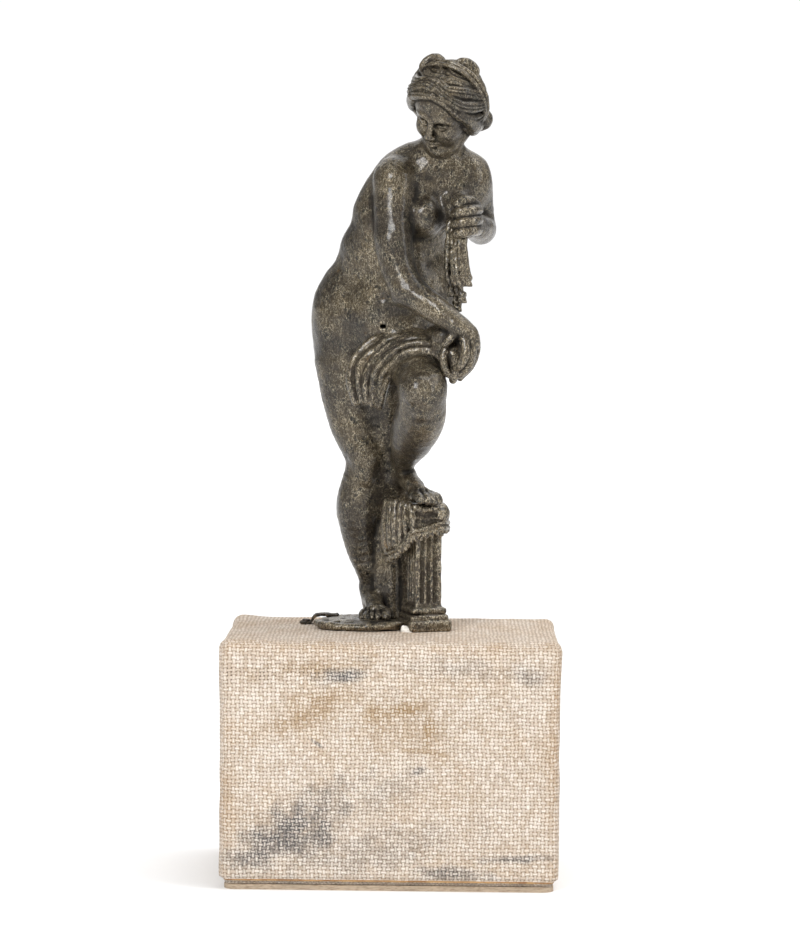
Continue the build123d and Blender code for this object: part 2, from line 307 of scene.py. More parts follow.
linen = Finish("coarse_linen", Sheen_Weight=0.25, Sheen_Roughness=0.5, Specular_IOR_Level=0.25)
flat_place = linen.place.node("ShaderNodeUVMap", {"uv_map": "threads"}, {})
slub = flat_place.node("ShaderNodeTexNoise", {}, {"Vector": flat_place, "Scale": 0.16, "Detail": 4.0}, 1)
sockets = {0: slub, 1: (1.6, 1.6, 0), 2: flat_place}
pulled = flat_place.node("ShaderNodeVectorMath", {"operation": "MULTIPLY_ADD"}, sockets)
across_cloth, up_cloth, _ = pulled.parts()


def wave(places):
    """The height, 0 to 1, of threads laid side by side."""
    return places.maths("SINE", places * (2 * pi / thread)) * 0.5 + 0.5


def count(places):
    """Which thread lies at a place."""
    turns = places * (1 / thread) + 0.25
    return turns.maths("FLOOR", turns)


def of_each(threads, seed):
    """A number from 0 to 1 for each thread, the same along its whole length."""
    settings = {"noise_dimensions": "1D"}
    return threads.node("ShaderNodeTexWhiteNoise", settings, {"W": threads + seed})


warp = wave(across_cloth)
weft = wave(up_cloth)
warp_count, weft_count = count(across_cloth), count(up_cloth)
over = (warp_count + weft_count).maths("FLOORED_MODULO", warp_count + weft_count, 2.0)
# Each crossing has its own fullness, and each thread swells and thins along its length.
crossing = warp_count.node("ShaderNodeCombineXYZ", {}, {0: warp_count, 1: weft_count})
flat = {"noise_dimensions": "2D"}
full = crossing.node("ShaderNodeTexWhiteNoise", flat, {"Vector": crossing})
open_here = crossing.node("ShaderNodeTexWhiteNoise", flat, {"Vector": crossing.stretched(1.7, 1.3, 1)})
uneven = flat_place.stretched(1, 0.16, 1).grain(0.8, 2.5)
uneven_too = flat_place.stretched(0.16, 1, 1).grain(0.8, 2.5)
warp_thick = (warp.power(0.6) * (uneven * 1.5 + full * 0.22 + 0.10)).clamped()
weft_thick = (weft.power(0.6) * (uneven_too * 1.5 + full * 0.22 + 0.10)).clamped()
yarn = (warp_thick * (0.45 + over * 0.55)).at_least(weft_thick * (1.0 - over * 0.55))
hole = (warp_thick.at_least(weft_thick)).step(0.10, 0.62)
fuzz = linen.place.grain(0.17, 3.0, 0.7)
clot = linen.place.grain(0.8, 5.0, 0.75)
# Crowns: the raised tops of the threads, painted near-white below as a highlight.
crown = (yarn.step(0.66, 1.0) * (full * 0.8 + fuzz.step(0.35, 0.65) * 0.5)).clamped()

x_mm, y_mm, z_mm = linen.place.parts()
front = (0 - y_mm).step(block_high[1] - 3.5, block_high[1] - 1.5)


def smudge(x, z, half_width, half_height, lean, ragged, seed):
    """A ragged patch on the front face, 1 inside and 0 outside, centred at x and z in millimetres."""
    lean = radians(lean)
    dx, dz = x_mm - x, z_mm - z
    a = (dx * cos(lean) + dz * sin(lean)) / half_width
    b = (dz * cos(lean) - dx * sin(lean)) / half_height
    sockets = {"Vector": linen.place, "W": seed, "Scale": 0.22, "Detail": 5.0}
    rough = linen.place.node("ShaderNodeTexNoise", {"noise_dimensions": "4D"}, sockets)
    reach = (a * a + b * b).power(0.5) + (rough - 0.5) * (2.6 * ragged)
    return (1 - reach.step(0.10, 1.40)) * front


def stains(patches):
    """Smudges together, the strongest showing at each place. Each is its strength, then what smudge takes."""
    made = None
    for strength, *patch in patches:
        patch = smudge(*patch) * strength
        made = patch if made is None else made.at_least(patch)
    return made


edge_x = (x_mm.maths("ABSOLUTE", x_mm) * -1 + block_high[0])
edge_top = z_mm * -1 + block_high[2]
soil = linen.place.grain(14.0, 5.0)
soil_fine = linen.place.grain(3.2, 5.0, 0.65)
browned = (1 - edge_x.step(0.0, 6.0)).at_least(1 - edge_top.step(0.3, 5.5))
browned = browned * (soil.step(0.25, 0.62) * 0.75 + 0.25)
base = linen.colour((0.78, 0.67, 0.565)).mixed((0.66, 0.50, 0.35, 1), soil.step(0.42, 0.72) * 0.6)
base = base.mixed((0.97, 0.89, 0.81, 1), soil_fine.step(0.48, 0.7) * 0.6)
base = base.mixed((0.56, 0.43, 0.27, 1), clot.step(0.46, 0.64) * 0.55)
base = base.mixed((0.44, 0.33, 0.22, 1), open_here.step(0.45, 1.0) * 0.22)
base = base.mixed((0.52, 0.34, 0.18, 1), (browned * 0.55).clamped())
umber = stains([
    (0.6, -23, 50, 12, 4.2, 24, 0.9, 2.0),
    (0.8, 3.5, 50.5, 9, 2.6, 8, 0.7, 3.0),
    (0.7, 10.5, 44.5, 3.4, 7.5, -8, 0.8, 4.0),
    (0.6, -4, 50, 4.5, 3.2, 30, 0.8, 5.0),
    (0.55, 11, 39.0, 8, 1.2, -6, 0.9, 6.0),
    (0.5, -22, 62, 16, 3.0, 6, 1.0, 21.0),
    (0.28, 2, 46.0, 20, 9, 4, 1.1, 22.0),
])
base = base.mixed((0.42, 0.27, 0.12, 1), (umber * (0.7 + clot * 0.9)).clamped())
grey = stains([
    (1.0, -27, 17.5, 19, 6.2, 33, 0.9, 7.0),
    (1.0, -20, 15, 9, 4.5, 30, 0.9, 8.0),
    (0.9, -12.5, 60, 8.5, 2.3, 8, 0.9, 9.0),
    (0.5, 38, 60, 7, 2.6, -8, 1.0, 10.0),
    (0.75, 17, 5.2, 12, 2.3, -4, 0.9, 11.0),
    (0.8, 36, 9.5, 10, 1.2, 3, 0.9, 12.0),
    (1.0, -20, 41.0, 3, 0.7, -35, 0.6, 13.0),
    (0.7, 7.5, 33.5, 3.2, 1.2, 22, 0.8, 14.0),
    (0.35, -16, 27, 6, 4, 45, 1.1, 15.0),
    (0.35, -6, 11, 30, 6, 8, 1.2, 16.0),
    (0.3, 20, 62, 22, 3, -4, 1.2, 17.0),
    (0.25, 0, 27, 12, 5, 20, 1.2, 18.0),
])
ink = (grey * (clot.step(0.3, 0.55) * 0.7 + 0.35)).clamped()
base = base.mixed((0.21, 0.19, 0.175, 1), ink * (1.0 - crown * 0.55))
# The gaps between the threads are painted darker as shade, and the grey stain runs near-black into them.
gap_shade_and_ink = base.mixed((0.30, 0.20, 0.12, 1), 0.8, "MULTIPLY").mixed((0.26, 0.17, 0.10, 1), 0.3)
gap_shade_and_ink = gap_shade_and_ink.mixed((0.035, 0.03, 0.028, 1), ink)
woven = gap_shade_and_ink.mixed(base, (hole * (0.45 + full * 0.2) + yarn * 0.52 - 0.06).clamped())
# Where the weave is worn open near the top of the front, the holes between threads are painted near-black as
# the shade inside them.
worn_hole_shade = (1 - hole) * open_here.step(0.55, 0.75) * (x_mm * -1).step(2, 22)
worn_hole_shade = worn_hole_shade * z_mm.step(56, 60) * (1 - z_mm.step(61, 64)) * front
woven = woven.mixed((0.03, 0.018, 0.01, 1), worn_hole_shade)
# The crowns of the threads are painted near-white as a highlight.
linen.feed(Base_Color=woven.mixed((1.0, 0.96, 0.91, 1), crown * (0.50 - ink * 0.15)), Roughness=1 - yarn * 0.12)
linen.relief(yarn * 0.8 + full * 0.2 + fuzz * 0.35 + clot * 0.3, 0.6)
cover.data.materials.append(linen.material)
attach(cover, "root")
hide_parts("linen_cover")

# ---- Base plate, with its clip and setting putty -----------------
# A thin irregular bronze plate cast with a curled lip, broken off short of the pillar's foot. A bent brown
# strip holds its left rear edge, and white setting putty fills the gap beside the pillar.


def curved(points, spans):
    """A smooth run of places (and radii) through the given ones."""
    points = np.array(points, float)
    if len(points) == 2:
        return points
    ends = np.vstack([2 * points[0] - points[1], points, 2 * points[-1] - points[-2]])
    t = np.linspace(0, 1, spans, endpoint=False)[:, None]
    run = []
    for a, b, c, d in zip(ends, ends[1:], ends[2:], ends[3:]):
        bend, twist = 2 * a - 5 * b + 4 * c - d, 3 * b - a - 3 * c + d
        run.append(0.5 * (2 * b + (c - a) * t + bend * t**2 + twist * t**3))
    return np.vstack([*run, points[-1:]])


# Where there is no wax yet, the skin is taken to be this many millimetres off.
empty = 6.0


class Wax:
    """A piece modelled in wax: how far each place is from its skin, in millimetres, less than 0 inside."""

    def __init__(self, low, high, grain):
        self.low = np.array(low, float)
        self.grain = grain * 1
        size = np.ceil((np.array(high) - low) / self.grain).astype(int) + 1
        self.skin = np.full(size, empty, np.float32)

    def patch(self, low, high):
        """The part of the wax between two corners, and its x, y and z."""
        last = np.array(self.skin.shape)
        a = np.clip(np.floor((np.array(low) - self.low) / self.grain).astype(int), 0, last - 1)
        b = np.clip(np.ceil((np.array(high) - self.low) / self.grain).astype(int) + 1, a + 1, last)
        axes = [self.low[k] + self.grain * np.arange(a[k], b[k], dtype=np.float32) for k in range(3)]
        return tuple(slice(*ab) for ab in zip(a, b)), np.meshgrid(*axes, indexing="ij", sparse=True)

    def join(self, where, shape, blend):
        """Adds a shape to the wax, with a fillet where they meet."""
        old = self.skin[where]
        h = np.maximum(blend - np.abs(old - shape), 0)
        self.skin[where] = np.minimum(old, shape) - h * h / (4 * blend)

    def carve(self, where, shape, blend):
        old = self.skin[where]
        h = np.maximum(blend - np.abs(old + shape), 0)
        self.skin[where] = np.maximum(old, -shape) + h * h / (4 * blend)

    def roll(self, points, reach, spans=4):
        """Distances to a rounded roll through (x, y, z, radius) points."""
        path = curved(points, spans)
        low = (path[:, :3] - path[:, 3:]).min(0) - reach
        high = (path[:, :3] + path[:, 3:]).max(0) + reach
        where, _ = self.patch(low, high)
        near = np.full(self.skin[where].shape, empty, np.float32)
        start = [s.start for s in where]
        for a, b in zip(path, path[1:]):
            low = np.minimum(a[:3] - a[3], b[:3] - b[3]) - reach
            high = np.maximum(a[:3] + a[3], b[:3] + b[3]) + reach
            part, (x, y, z) = self.patch(low, high)
            inside = tuple(slice(s.start - o, s.stop - o) for s, o in zip(part, start))
            run = b[:3] - a[:3]
            dx, dy, dz = x - a[0], y - a[1], z - a[2]
            t = np.clip((dx * run[0] + dy * run[1] + dz * run[2]) / max(run @ run, 1e-9), 0, 1)
            far = np.sqrt((dx - t * run[0]) ** 2 + (dy - t * run[1]) ** 2 + (dz - t * run[2]) ** 2)
            near[inside] = np.minimum(near[inside], far - (a[3] + t * (b[3] - a[3])))
        return where, near

    def rope(self, points, blend=0.5, spans=4):
        where, near = self.roll(points, blend + 3 * self.grain, spans)
        self.join(where, near, blend)

    def groove(self, points, blend=0.3):
        where, near = self.roll(points, blend + 3 * self.grain)
        self.carve(where, near, blend)

    def crease(self, points, width, depth, spans=4):
        """Presses a soft line into the skin, or raises one where depth is less than 0."""
        path = [(*p[:3], 0) for p in points]
        where, near = self.roll(path, width, spans)
        self.skin[where] += depth * np.clip(1 - (near / width) ** 2, 0, 1) ** 2

    def egg(self, centre, radii, blend=0.5, turn=(0, 0, 0), carve=False):
        """An egg-shaped lump, turned about x, y and z in degrees."""
        reach = max(radii) + blend + 3 * self.grain
        centre = np.array(centre, float)
        where, (x, y, z) = self.patch(centre - reach, centre + reach)
        m = np.array(turn) if np.ndim(turn) == 2 else np.array(
            (Matrix.Rotation(radians(turn[2]), 3, "Z") @ Matrix.Rotation(radians(turn[1]), 3, "Y")
             @ Matrix.Rotation(radians(turn[0]), 3, "X")))
        x, y, z = x - centre[0], y - centre[1], z - centre[2]
        local = [x * m[0, k] + y * m[1, k] + z * m[2, k] for k in range(3)]
        k0 = np.sqrt(sum((q / r) ** 2 for q, r in zip(local, radii)))
        k1 = np.sqrt(sum((q / r**2) ** 2 for q, r in zip(local, radii)))
        shape = k0 * (k0 - 1) / np.maximum(k1, 1e-6)
        (self.carve if carve else self.join)(where, shape, blend)

    def brick(self, centre, half, turn, soft, blend=0.3, batter=0.0):
        """A block turned about the vertical, with soft edges, narrowed by the batter's share at its top."""
        reach = float(np.linalg.norm(half)) + blend + 2 * self.grain
        where, (x, y, z) = self.patch(np.array(centre) - reach, np.array(centre) + reach)
        c, s = cos(radians(turn)), sin(radians(turn))
        x, y, z = x - centre[0], y - centre[1], z - centre[2]
        narrow = 1 - batter * (z / half[2]) if batter else 1
        a = np.abs(x * c + y * s) - half[0] * narrow + soft
        b = np.abs(y * c - x * s) - half[1] * narrow + soft
        h = np.abs(z) - half[2] + soft
        out = np.sqrt(np.maximum(a, 0) ** 2 + np.maximum(b, 0) ** 2 + np.maximum(h, 0) ** 2)
        shape = out + np.minimum(np.maximum(np.maximum(a, b), h), 0) - soft
        self.join(where, shape.astype(np.float32), blend)

    def roughen(self, size, depth, seed):
        """Takes the evenness off the skin with soft lumps of that size."""
        draw = np.random.default_rng(seed)
        cells = [int(n * self.grain / size) + 4 for n in self.skin.shape]
        coarse = draw.standard_normal(cells).astype(np.float32)
        for axis in range(3):
            at = np.arange(self.skin.shape[axis]) * self.grain / size
            first = at.astype(int)
            share = at - first
            share = (share * share * (3 - 2 * share)).astype(np.float32)
            share = share.reshape([-1 if k == axis else 1 for k in range(3)])
            coarse = coarse.take(first, axis) * (1 - share) + coarse.take(first + 1, axis) * share
        self.skin += depth * coarse

    def stand(self, level):
        """Cuts the wax off flat at a level."""
        z = self.low[2] + self.grain * np.arange(self.skin.shape[2], dtype=np.float32)
        self.skin = np.maximum(self.skin, level - z[None, None, :])

    def lie(self, mesh, reach=1.1):
        """How each point of the cast lies: 0 deep in a hollow, a half on the flat, 1 on a sharp ridge."""
        wide = max(1, round(reach / self.grain))
        mean = self.skin
        for axis in range(3):
            total = np.cumsum(mean, axis=axis, dtype=np.float64)
            mean = (np.roll(total, -wide, axis) - np.roll(total, wide + 1, axis)) / (2 * wide + 1)
        points = np.empty(3 * len(mesh.vertices), dtype=np.float32)
        mesh.vertices.foreach_get("co", points)
        cell = np.rint((points.reshape(-1, 3) * 1000 - self.low) / self.grain).astype(int)
        cell = tuple(np.clip(cell, 0, np.array(mean.shape) - 1).T)
        rise = (mean[cell] - self.skin[cell]) / (0.9 * reach)
        return np.clip(0.5 + rise, 0, 1).astype(np.float32)

    def cast(self, name, finish, triangles=190000):
        """The finished bronze or putty, as an object in metres."""
        grid = openvdb.FloatGrid(empty)
        grid.copyFromArray(self.skin)
        points, quads = grid.convertToQuads(isovalue=0)
        mesh = bpy.data.meshes.new(name)
        places = (points * self.grain + self.low) / 1000
        mesh.from_pydata(places.tolist(), [], quads.tolist())
        made = bpy.data.objects.new(name, mesh)
        bpy.context.collection.objects.link(made)
        a, b, c = (places[quads[:, k]] for k in (0, 1, 2))
        if float((a * np.cross(b, c)).sum()) < 0:
            mesh.flip_normals()
        if 2 * len(quads) > triangles:
            thinner = made.modifiers.new("thinner", "DECIMATE")
            thinner.ratio = triangles / (2 * len(quads))
            slim = bpy.data.meshes.new_from_object(made.evaluated_get(bpy.context.evaluated_depsgraph_get()))
            made.modifiers.clear()
            made.data = slim
            bpy.data.meshes.remove(mesh)
            slim.name = name
        made.data.polygons.foreach_set("use_smooth", [True] * len(made.data.polygons))
        # Each point's lie is kept on the mesh, and the bronze paints the hollows dark from it as shade.
        made.data.attributes.new("lie", "FLOAT", "POINT").data.foreach_set("value", self.lie(made.data))
        made.data.materials.append(finish.material)
        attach(made, "root")
        return made


def bronze(name, speckle=1.0, light=1.0, pits=1.0, hollow_shade=0.85):
    """Old bronze under a near-black lacquer, rubbed through in flecks and scratches, with casting pits and
    painted shade in its hollows.
    """
    made = Finish(name, IOR=1.5, Coat_Roughness=0.17)
    place = made.place
    cloud = place.grain(11.0, 4.0)
    mottle = place.grain(2.6, 4.0, 0.55)
    salt = place.grain(0.55, 5.0, 0.72)
    fine = place.grain(0.26, 3.0, 0.75)
    pit = place.node("ShaderNodeTexVoronoi", {}, {"Vector": place, "Scale": 0.6, "Randomness": 1.0})
    curl = place.stretched(1.0, 1.0, 0.5).grain(0.8, 3.0, 0.6) - 0.5
    curl = 1 - curl.maths("ABSOLUTE", curl).step(0.014, 0.045)
    # The hollows of the cast, found from how each point lies, are painted near-black as shade.
    lie = place.node("ShaderNodeAttribute", {"attribute_name": "lie"}, {}, "Fac")
    shaded_valley, crest = 1 - lie.step(0.36, 0.49), lie.step(0.53, 0.66)
    worn = (mottle * 0.8 + cloud * 0.8 - 0.78).step(-0.10, 0.22).at_least(crest)
    tone = made.colour((0.022 * light, 0.0155 * light, 0.009 * light))
    tone = tone.mixed((0.056 * light, 0.041 * light, 0.021 * light, 1), cloud.step(0.40, 0.62))
    tone = tone.mixed((0.020 * light, 0.019 * light, 0.012 * light, 1), mottle.step(0.50, 0.66) * 0.7)
    rubbed = (salt.step(0.51, 0.63) * (worn * 0.9 + 0.16) * speckle).clamped()
    tone = tone.mixed((0.270, 0.215, 0.130, 1), rubbed * 0.6)
    bright = (curl * fine.step(0.40, 0.58) * (worn * 0.85 + 0.2) * speckle).clamped()
    tone = tone.mixed((0.600, 0.520, 0.380, 1), bright * 0.75)
    ochre = place.grain(6.0, 4.0, 0.7, Distortion=0.6).step(0.63, 0.72) * salt.step(0.4, 0.6)
    tone = tone.mixed((0.17, 0.085, 0.022, 1), ochre * 0.55)
    hollow = (1 - pit.step(0.12, 0.42)) * mottle.step(0.42, 0.58)
    grit = 1 - salt.step(0.36, 0.46)
    # Dark grains and casting pits of the patina, with painted shade in the hollows.
    grit_and_shade = (hollow * (0.8 * pits)).at_least(grit * 0.55).at_least(shaded_valley * hollow_shade)
    tone = tone.mixed((0.007, 0.006, 0.005, 1), grit_and_shade)
    made.feed(
        Base_Color=tone,
        Roughness=(0.22 + mottle * 0.24 + rubbed * 0.10 + shaded_valley * 0.3).clamped(),
        Metallic=(0.55 + rubbed * 0.2 + bright * 0.2).clamped(),
        Coat_Weight=(0.40 - rubbed * 0.35 - grit * 0.3 - shaded_valley * 0.4 + crest * 0.25).clamped(),
    )
    made.relief(mottle * 0.9 + salt * 0.65 + fine * 0.14 - hollow * (0.5 * pits), 0.36)
    return made


patina = bronze("dark_patina")
plate_patina = bronze("plate_patina", speckle=1.5, light=1.4)
plate_low, plate_high = room_for("base_plate")
plate = Wax((-26, -13, 67), (13, 27, 76), 0.3)
middle = (plate_low[2] + plate_high[2]) / 2
for x, y, across, deep in (
    (-10, 5.5, 12.2, 12.6), (-8, 9, 12.6, 12.4), (-4, -0.5, 7.4, 7.2), (0, 13, 7.4, 7.4),
    (-14, 0.5, 7.2, 6.4),
):
    plate.egg((x, y, middle - 0.1), (across, deep, 1.55), 1.2)
plate.stand(plate_low[2])
# The curled lip at the front, and the bite beside the pillar's foot.
plate.rope([
    (-21.6, 1, 71.0, 0.9), (-18.5, -4.6, 70.9, 1.0), (-11, -7.6, 70.8, 1.0), (-3, -7.6, 70.9, 1.0),
    (1.2, -5.8, 71.2, 0.9),
], 1.0)
plate.egg((3.6, -6.6, 71), (2.6, 2.4, 3), 0.5, carve=True)
plate.rope([
    (-3.5, -5.8, 71.4, 0.7), (0.5, -6.2, 71.7, 0.7), (3.4, -4.6, 71.8, 0.6), (4.6, -2.0, 71.8, 0.6),
], 0.8)
plate.roughen(3.0, 0.16, 3)
plate.roughen(1.2, 0.11, 4)
plate.stand(plate_low[2])
plate = plate.cast("cast_base_plate", plate_patina)
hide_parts("base_plate")

strip = Finish("brown_brass", Metallic=0.6)
worn = strip.place.grain(1.0, 5.0)
strip.feed(
    Base_Color=strip.colour((0.025, 0.019, 0.012)).mixed((0.16, 0.11, 0.06, 1), worn.step(0.5, 0.68)),
    Roughness=worn * 0.3 + 0.35,
)
strip.relief(worn, 0.1)
clip_low, clip_high = room_for("retaining_clip")
clip = Wax(clip_low - 1, clip_high + 1, 0.16)
clip_y = (clip_low[1] + clip_high[1]) / 2
for number in range(9):
    y = clip_y - 2.1 + number * 0.525
    ragged = 0.5 * sin(number * 2.4)
    clip.rope([
        (clip_low[0] + 0.5 + ragged * 0.6, y, 69.95, 0.36),
        (-23.9, y, 70, 0.38), (-22.9, y, 71.6, 0.38), (-21.4, y, 72.2 + 0.1 * ragged, 0.4),
        (clip_high[0] - 0.8 - abs(ragged), y, 72.15, 0.3),
    ], 0.2)
clip.egg((-20.2, clip_y - 2.4, 72), (0.9, 0.9, 1.2), 0.2, carve=True)
clip.egg((-24.6, clip_y - 2.6, 70), (0.7, 0.8, 1.2), 0.2, carve=True)
clip.roughen(0.9, 0.10, 6)
clip = clip.cast("bent_clip", strip)
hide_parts("retaining_clip")

chalk = Finish("setting_putty", Roughness=0.85)
crumbs = chalk.place.grain(0.5, 5.0)
chalk.feed(Base_Color=chalk.colour((0.86, 0.83, 0.77)).mixed((0.55, 0.48, 0.38, 1), crumbs.step(0.5, 0.75)))
chalk.relief(crumbs, 0.25)
putty_low, putty_high = room_for("setting_putty")
putty = Wax(putty_low - 2, putty_high + 2, 0.15)
x, y, z = (putty_low + putty_high) / 2
putty.egg((x - 0.5, y + 0.2, z - 0.6), (1.3, 1.0, 1.5), 0.3)
putty.egg((x + 0.8, y - 0.4, z - 0.8), (0.8, 0.6, 1.1), 0.3)
putty.roughen(0.7, 0.12, 5)
putty.stand(block_high[2])
putty = putty.cast("putty_chips", chalk)
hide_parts("setting_putty")

# ---- Pillar ------------------------------------------------------
# A small square pillar cast by itself: plinth, two mouldings and a tapering fluted shaft, all softened in the
# wax. It is turned a little to her right, and stands on a stud of its own.

pillar_low, pillar_high = room_for("support_pillar")
pillar_x, pillar_y = (pillar_low[:2] + pillar_high[:2]) / 2
pillar_turn = 20
foot = pillar_low[2]


def on_pillar(side, out, level):
    """A place beside the pillar's axis, along its own sides."""
    c, s = cos(radians(pillar_turn)), sin(radians(pillar_turn))
    return (pillar_x + side * c - out * s, pillar_y + side * s + out * c, level)


pillar = Wax(pillar_low - 3, pillar_high + 3, 0.26)
pillar.brick(on_pillar(0, 0, foot + 1.6), (6.4, 6.4, 1.7), pillar_turn, 0.9)
pillar.brick(on_pillar(0, 0, foot + 3.9), (5.7, 5.7, 0.95), pillar_turn, 0.8, 0.25)
pillar.brick(on_pillar(0, 0, foot + 5.9), (5.2, 5.2, 0.95), pillar_turn, 0.8, 0.25)
pillar.brick(on_pillar(0, 0, foot + 19), (3.95, 3.95, 13), pillar_turn, 0.5, 0.9, batter=0.03)
pillar.brick(on_pillar(0, 0, foot + 31), (4.4, 4.4, 4.0), pillar_turn, 0.5)
for side in range(4):
    for flute in (-1.9, 0, 1.9):
        turn = radians(90 * side)
        ends = []
        for level in (foot + 8.6, foot + 28):
            a, b = flute, -4.15 + 0.1 * (level > foot + 20)
            side_way, out_way = a * cos(turn) - b * sin(turn), a * sin(turn) + b * cos(turn)
            ends.append((*on_pillar(side_way, out_way, level), 0.72))
        pillar.groove(ends, 0.2)
pillar.roughen(2.6, 0.09, 7)
pillar.roughen(1.0, 0.04, 8)
pillar.stand(foot)
pillar = pillar.cast("fluted_pillar", bronze("pillar_patina", speckle=1.6, light=1.7, hollow_shade=0.4))
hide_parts("support_pillar")

# ---- Fringed cloth over the pillar -------------------------------
# Cast with the pillar's cap as if a cloth were thrown over it: a flat top for her foot, a plain hem band rising
# to her left with a knotted fringe under it, and a loose fold that hangs at her right in narrow pleats.

cloth = Wax((-8, -13, 85), (21, 12, 111), 0.24)
cloth.brick(on_pillar(0, 0, 101.4), (5.3, 5.3, 4.6), pillar_turn, 1.7)
cloth.egg((13.2, -2.4, 102.6), (2.8, 4.4, 3.2), 1.2)
# The fold that hangs at her right, as separate pleats fanning down from the top.
for top_place, foot_place, thick in (
    ((-2.0, 1.6, 105.4), (-2.2, 1.4, 93.0), 1.3),
    ((-1.8, -0.6, 105.9), (-1.6, -1.4, 92.4), 1.35),
    ((-0.6, -2.4, 106.0), (-0.4, -3.2, 92.6), 1.25),
    ((0.8, -3.8, 106.0), (1.0, -4.6, 93.6), 1.25),
    ((2.2, -5.0, 105.8), (2.4, -5.6, 94.8), 1.15),
    ((3.6, -5.9, 105.4), (3.9, -6.3, 96.4), 1.1),
):
    a, b = np.array(top_place), np.array(foot_place)
    middle = (a + b) / 2 + np.array([-0.3, -0.7, 1.0])
    cloth.rope([(*a, thick * 0.9), (*middle, thick), (*b, thick * 0.9)], 0.25)
    cloth.crease([
        tuple(a + (0.7, -1.1, 0)), tuple(middle + (0.75, -1.2, 0)), tuple(b + (0.7, -1.0, 0)),
    ], 0.6, 0.5)
cloth.rope([(-0.6, 0.4, 103, 2.0), (0.4, -1.0, 98, 2.4), (1.6, -2.0, 94.5, 1.6)], 1.0)
# Strong folds over the front corner and along the front.
cloth.rope([(4.7, -6.6, 105.6, 0.8), (5.6, -7.4, 102.8, 1.0), (5.4, -7.5, 99.4, 0.9)], 0.4)
cloth.rope([
    (6.4, -6.9, 105.2, 0.7), (8.6, -6.6, 104.4, 0.9), (12.0, -5.4, 104.7, 0.9), (15.0, -3.2, 103.4, 0.9),
], 0.5)
cloth.crease([(6.6, -7.6, 103.2), (9.0, -7.2, 102.2), (12.6, -6.0, 102.8)], 0.9, 0.45)
cloth.crease([(6.9, -7.8, 101.2), (9.6, -7.0, 100.8), (13.4, -5.4, 101.6)], 0.8, 0.35)
# The edge below the hem is cut away, then the band and fringe are laid on.
hem = [
    (-2.6, 2.6, 91.6), (-1.4, -1.8, 91.4), (0.8, -4.9, 92.6), (3.2, -6.6, 95.0), (5.6, -7.9, 97.9),
    (9.8, -6.7, 99.0), (14.0, -4.9, 100.5), (15.4, -0.5, 100.2),
]
where, (x, y, z) = cloth.patch((-9, -14, 84), (22, 14, 112))
edge = np.interp(x + 0 * y, [-2.4, 0.8, 3.2, 5.6, 14.2, 15.2], [91.6, 92.6, 95.0, 97.9, 100.4, 100.2]) + 0 * z
cloth.carve(where, (z - edge).astype(np.float32), 0.4)
cloth.rope([(*p, 0.85) for p in hem], 0.25, 6)
cloth.crease([(p[0], p[1] - 0.8, p[2] + 0.85) for p in hem], 0.5, 0.35, 6)
cloth.crease([(p[0], p[1] - 0.8, p[2] - 0.75) for p in hem], 0.5, 0.4, 6)
cloth.rope([(p[0] + 0.15, p[1] + 0.25, p[2] - 1.5, 0.75) for p in hem], 0.25, 6)
for number in range(21):
    along = number / 20 * (len(hem) - 1.001)
    a, b = np.array(hem[int(along)]), np.array(hem[int(along) + 1])
    x, y, z = a + (b - a) * (along - int(along))
    drop = 1.1 + 0.2 * sin(number * 2.1)
    cloth.rope([(x, y - 0.25, z - 1.2, 0.5), (x + 0.1, y + 0.05, z - 1.3 - drop, 0.62)], 0.2)
cloth.roughen(1.6, 0.08, 11)
cloth = cloth.cast("pillar_cloth", bronze("cloth_patina", speckle=1.5, light=1.6, hollow_shade=0.6))
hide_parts("pillar_drapery")

# ---- The woman ---------------------------------------------------
# One solid casting from a wax model: she stands on her right leg and leans over her raised left thigh, her
# right arm across it and her left fist at her breast. Her hair is parted, bound with a double fillet, and
# knotted on top.

wax = Wax((-28, -34, 70), (33, 27, 236), 0.34)
plate_top = plate_high[2] - 0.1

# Trunk: seat, hips, belly, flank, ribs and shoulders.
for centre, radii, blend in (
    ((-9, 8.2, 161.5), (14.2, 11.3, 15.2), 3),
    ((-12.8, 13.4, 154.5), (9.8, 8.6, 10.2), 5),
    ((-1, 15, 155.5), (9, 8, 9.6), 4),
    ((2.4, -0.6, 167), (10.6, 8.8, 13), 7),
    ((-4.6, 3.6, 177.5), (9.4, 8.6, 9.5), 7),
    ((0.6, -1, 186.5), (12.2, 9.6, 15), 7),
    ((10.4, -3.4, 196), (16, 8.4, 12.8), 5),
    ((2, 2, 194), (8, 7, 9.5), 4),
    ((6.2, 3.4, 177), (9, 7, 14), 4),
    ((3.4, 8, 157.5), (8.5, 8.5, 9.5), 5),
    ((-9.7, 3.6, 175.6), (4.8, 6, 7), 5),
    ((9.2, 2.4, 165.5), (8.8, 8, 9.5), 4),
    ((-3.5, -1.8, 158.5), (8.5, 6, 8.5), 6),
):
    wax.egg(centre, radii, blend)
# Breasts.
wax.egg((8.4, -10.8, 186.8), (5.3, 5, 5.6), 2.4)
wax.egg((17.2, -9.4, 189), (4.7, 4.6, 5), 2.6)

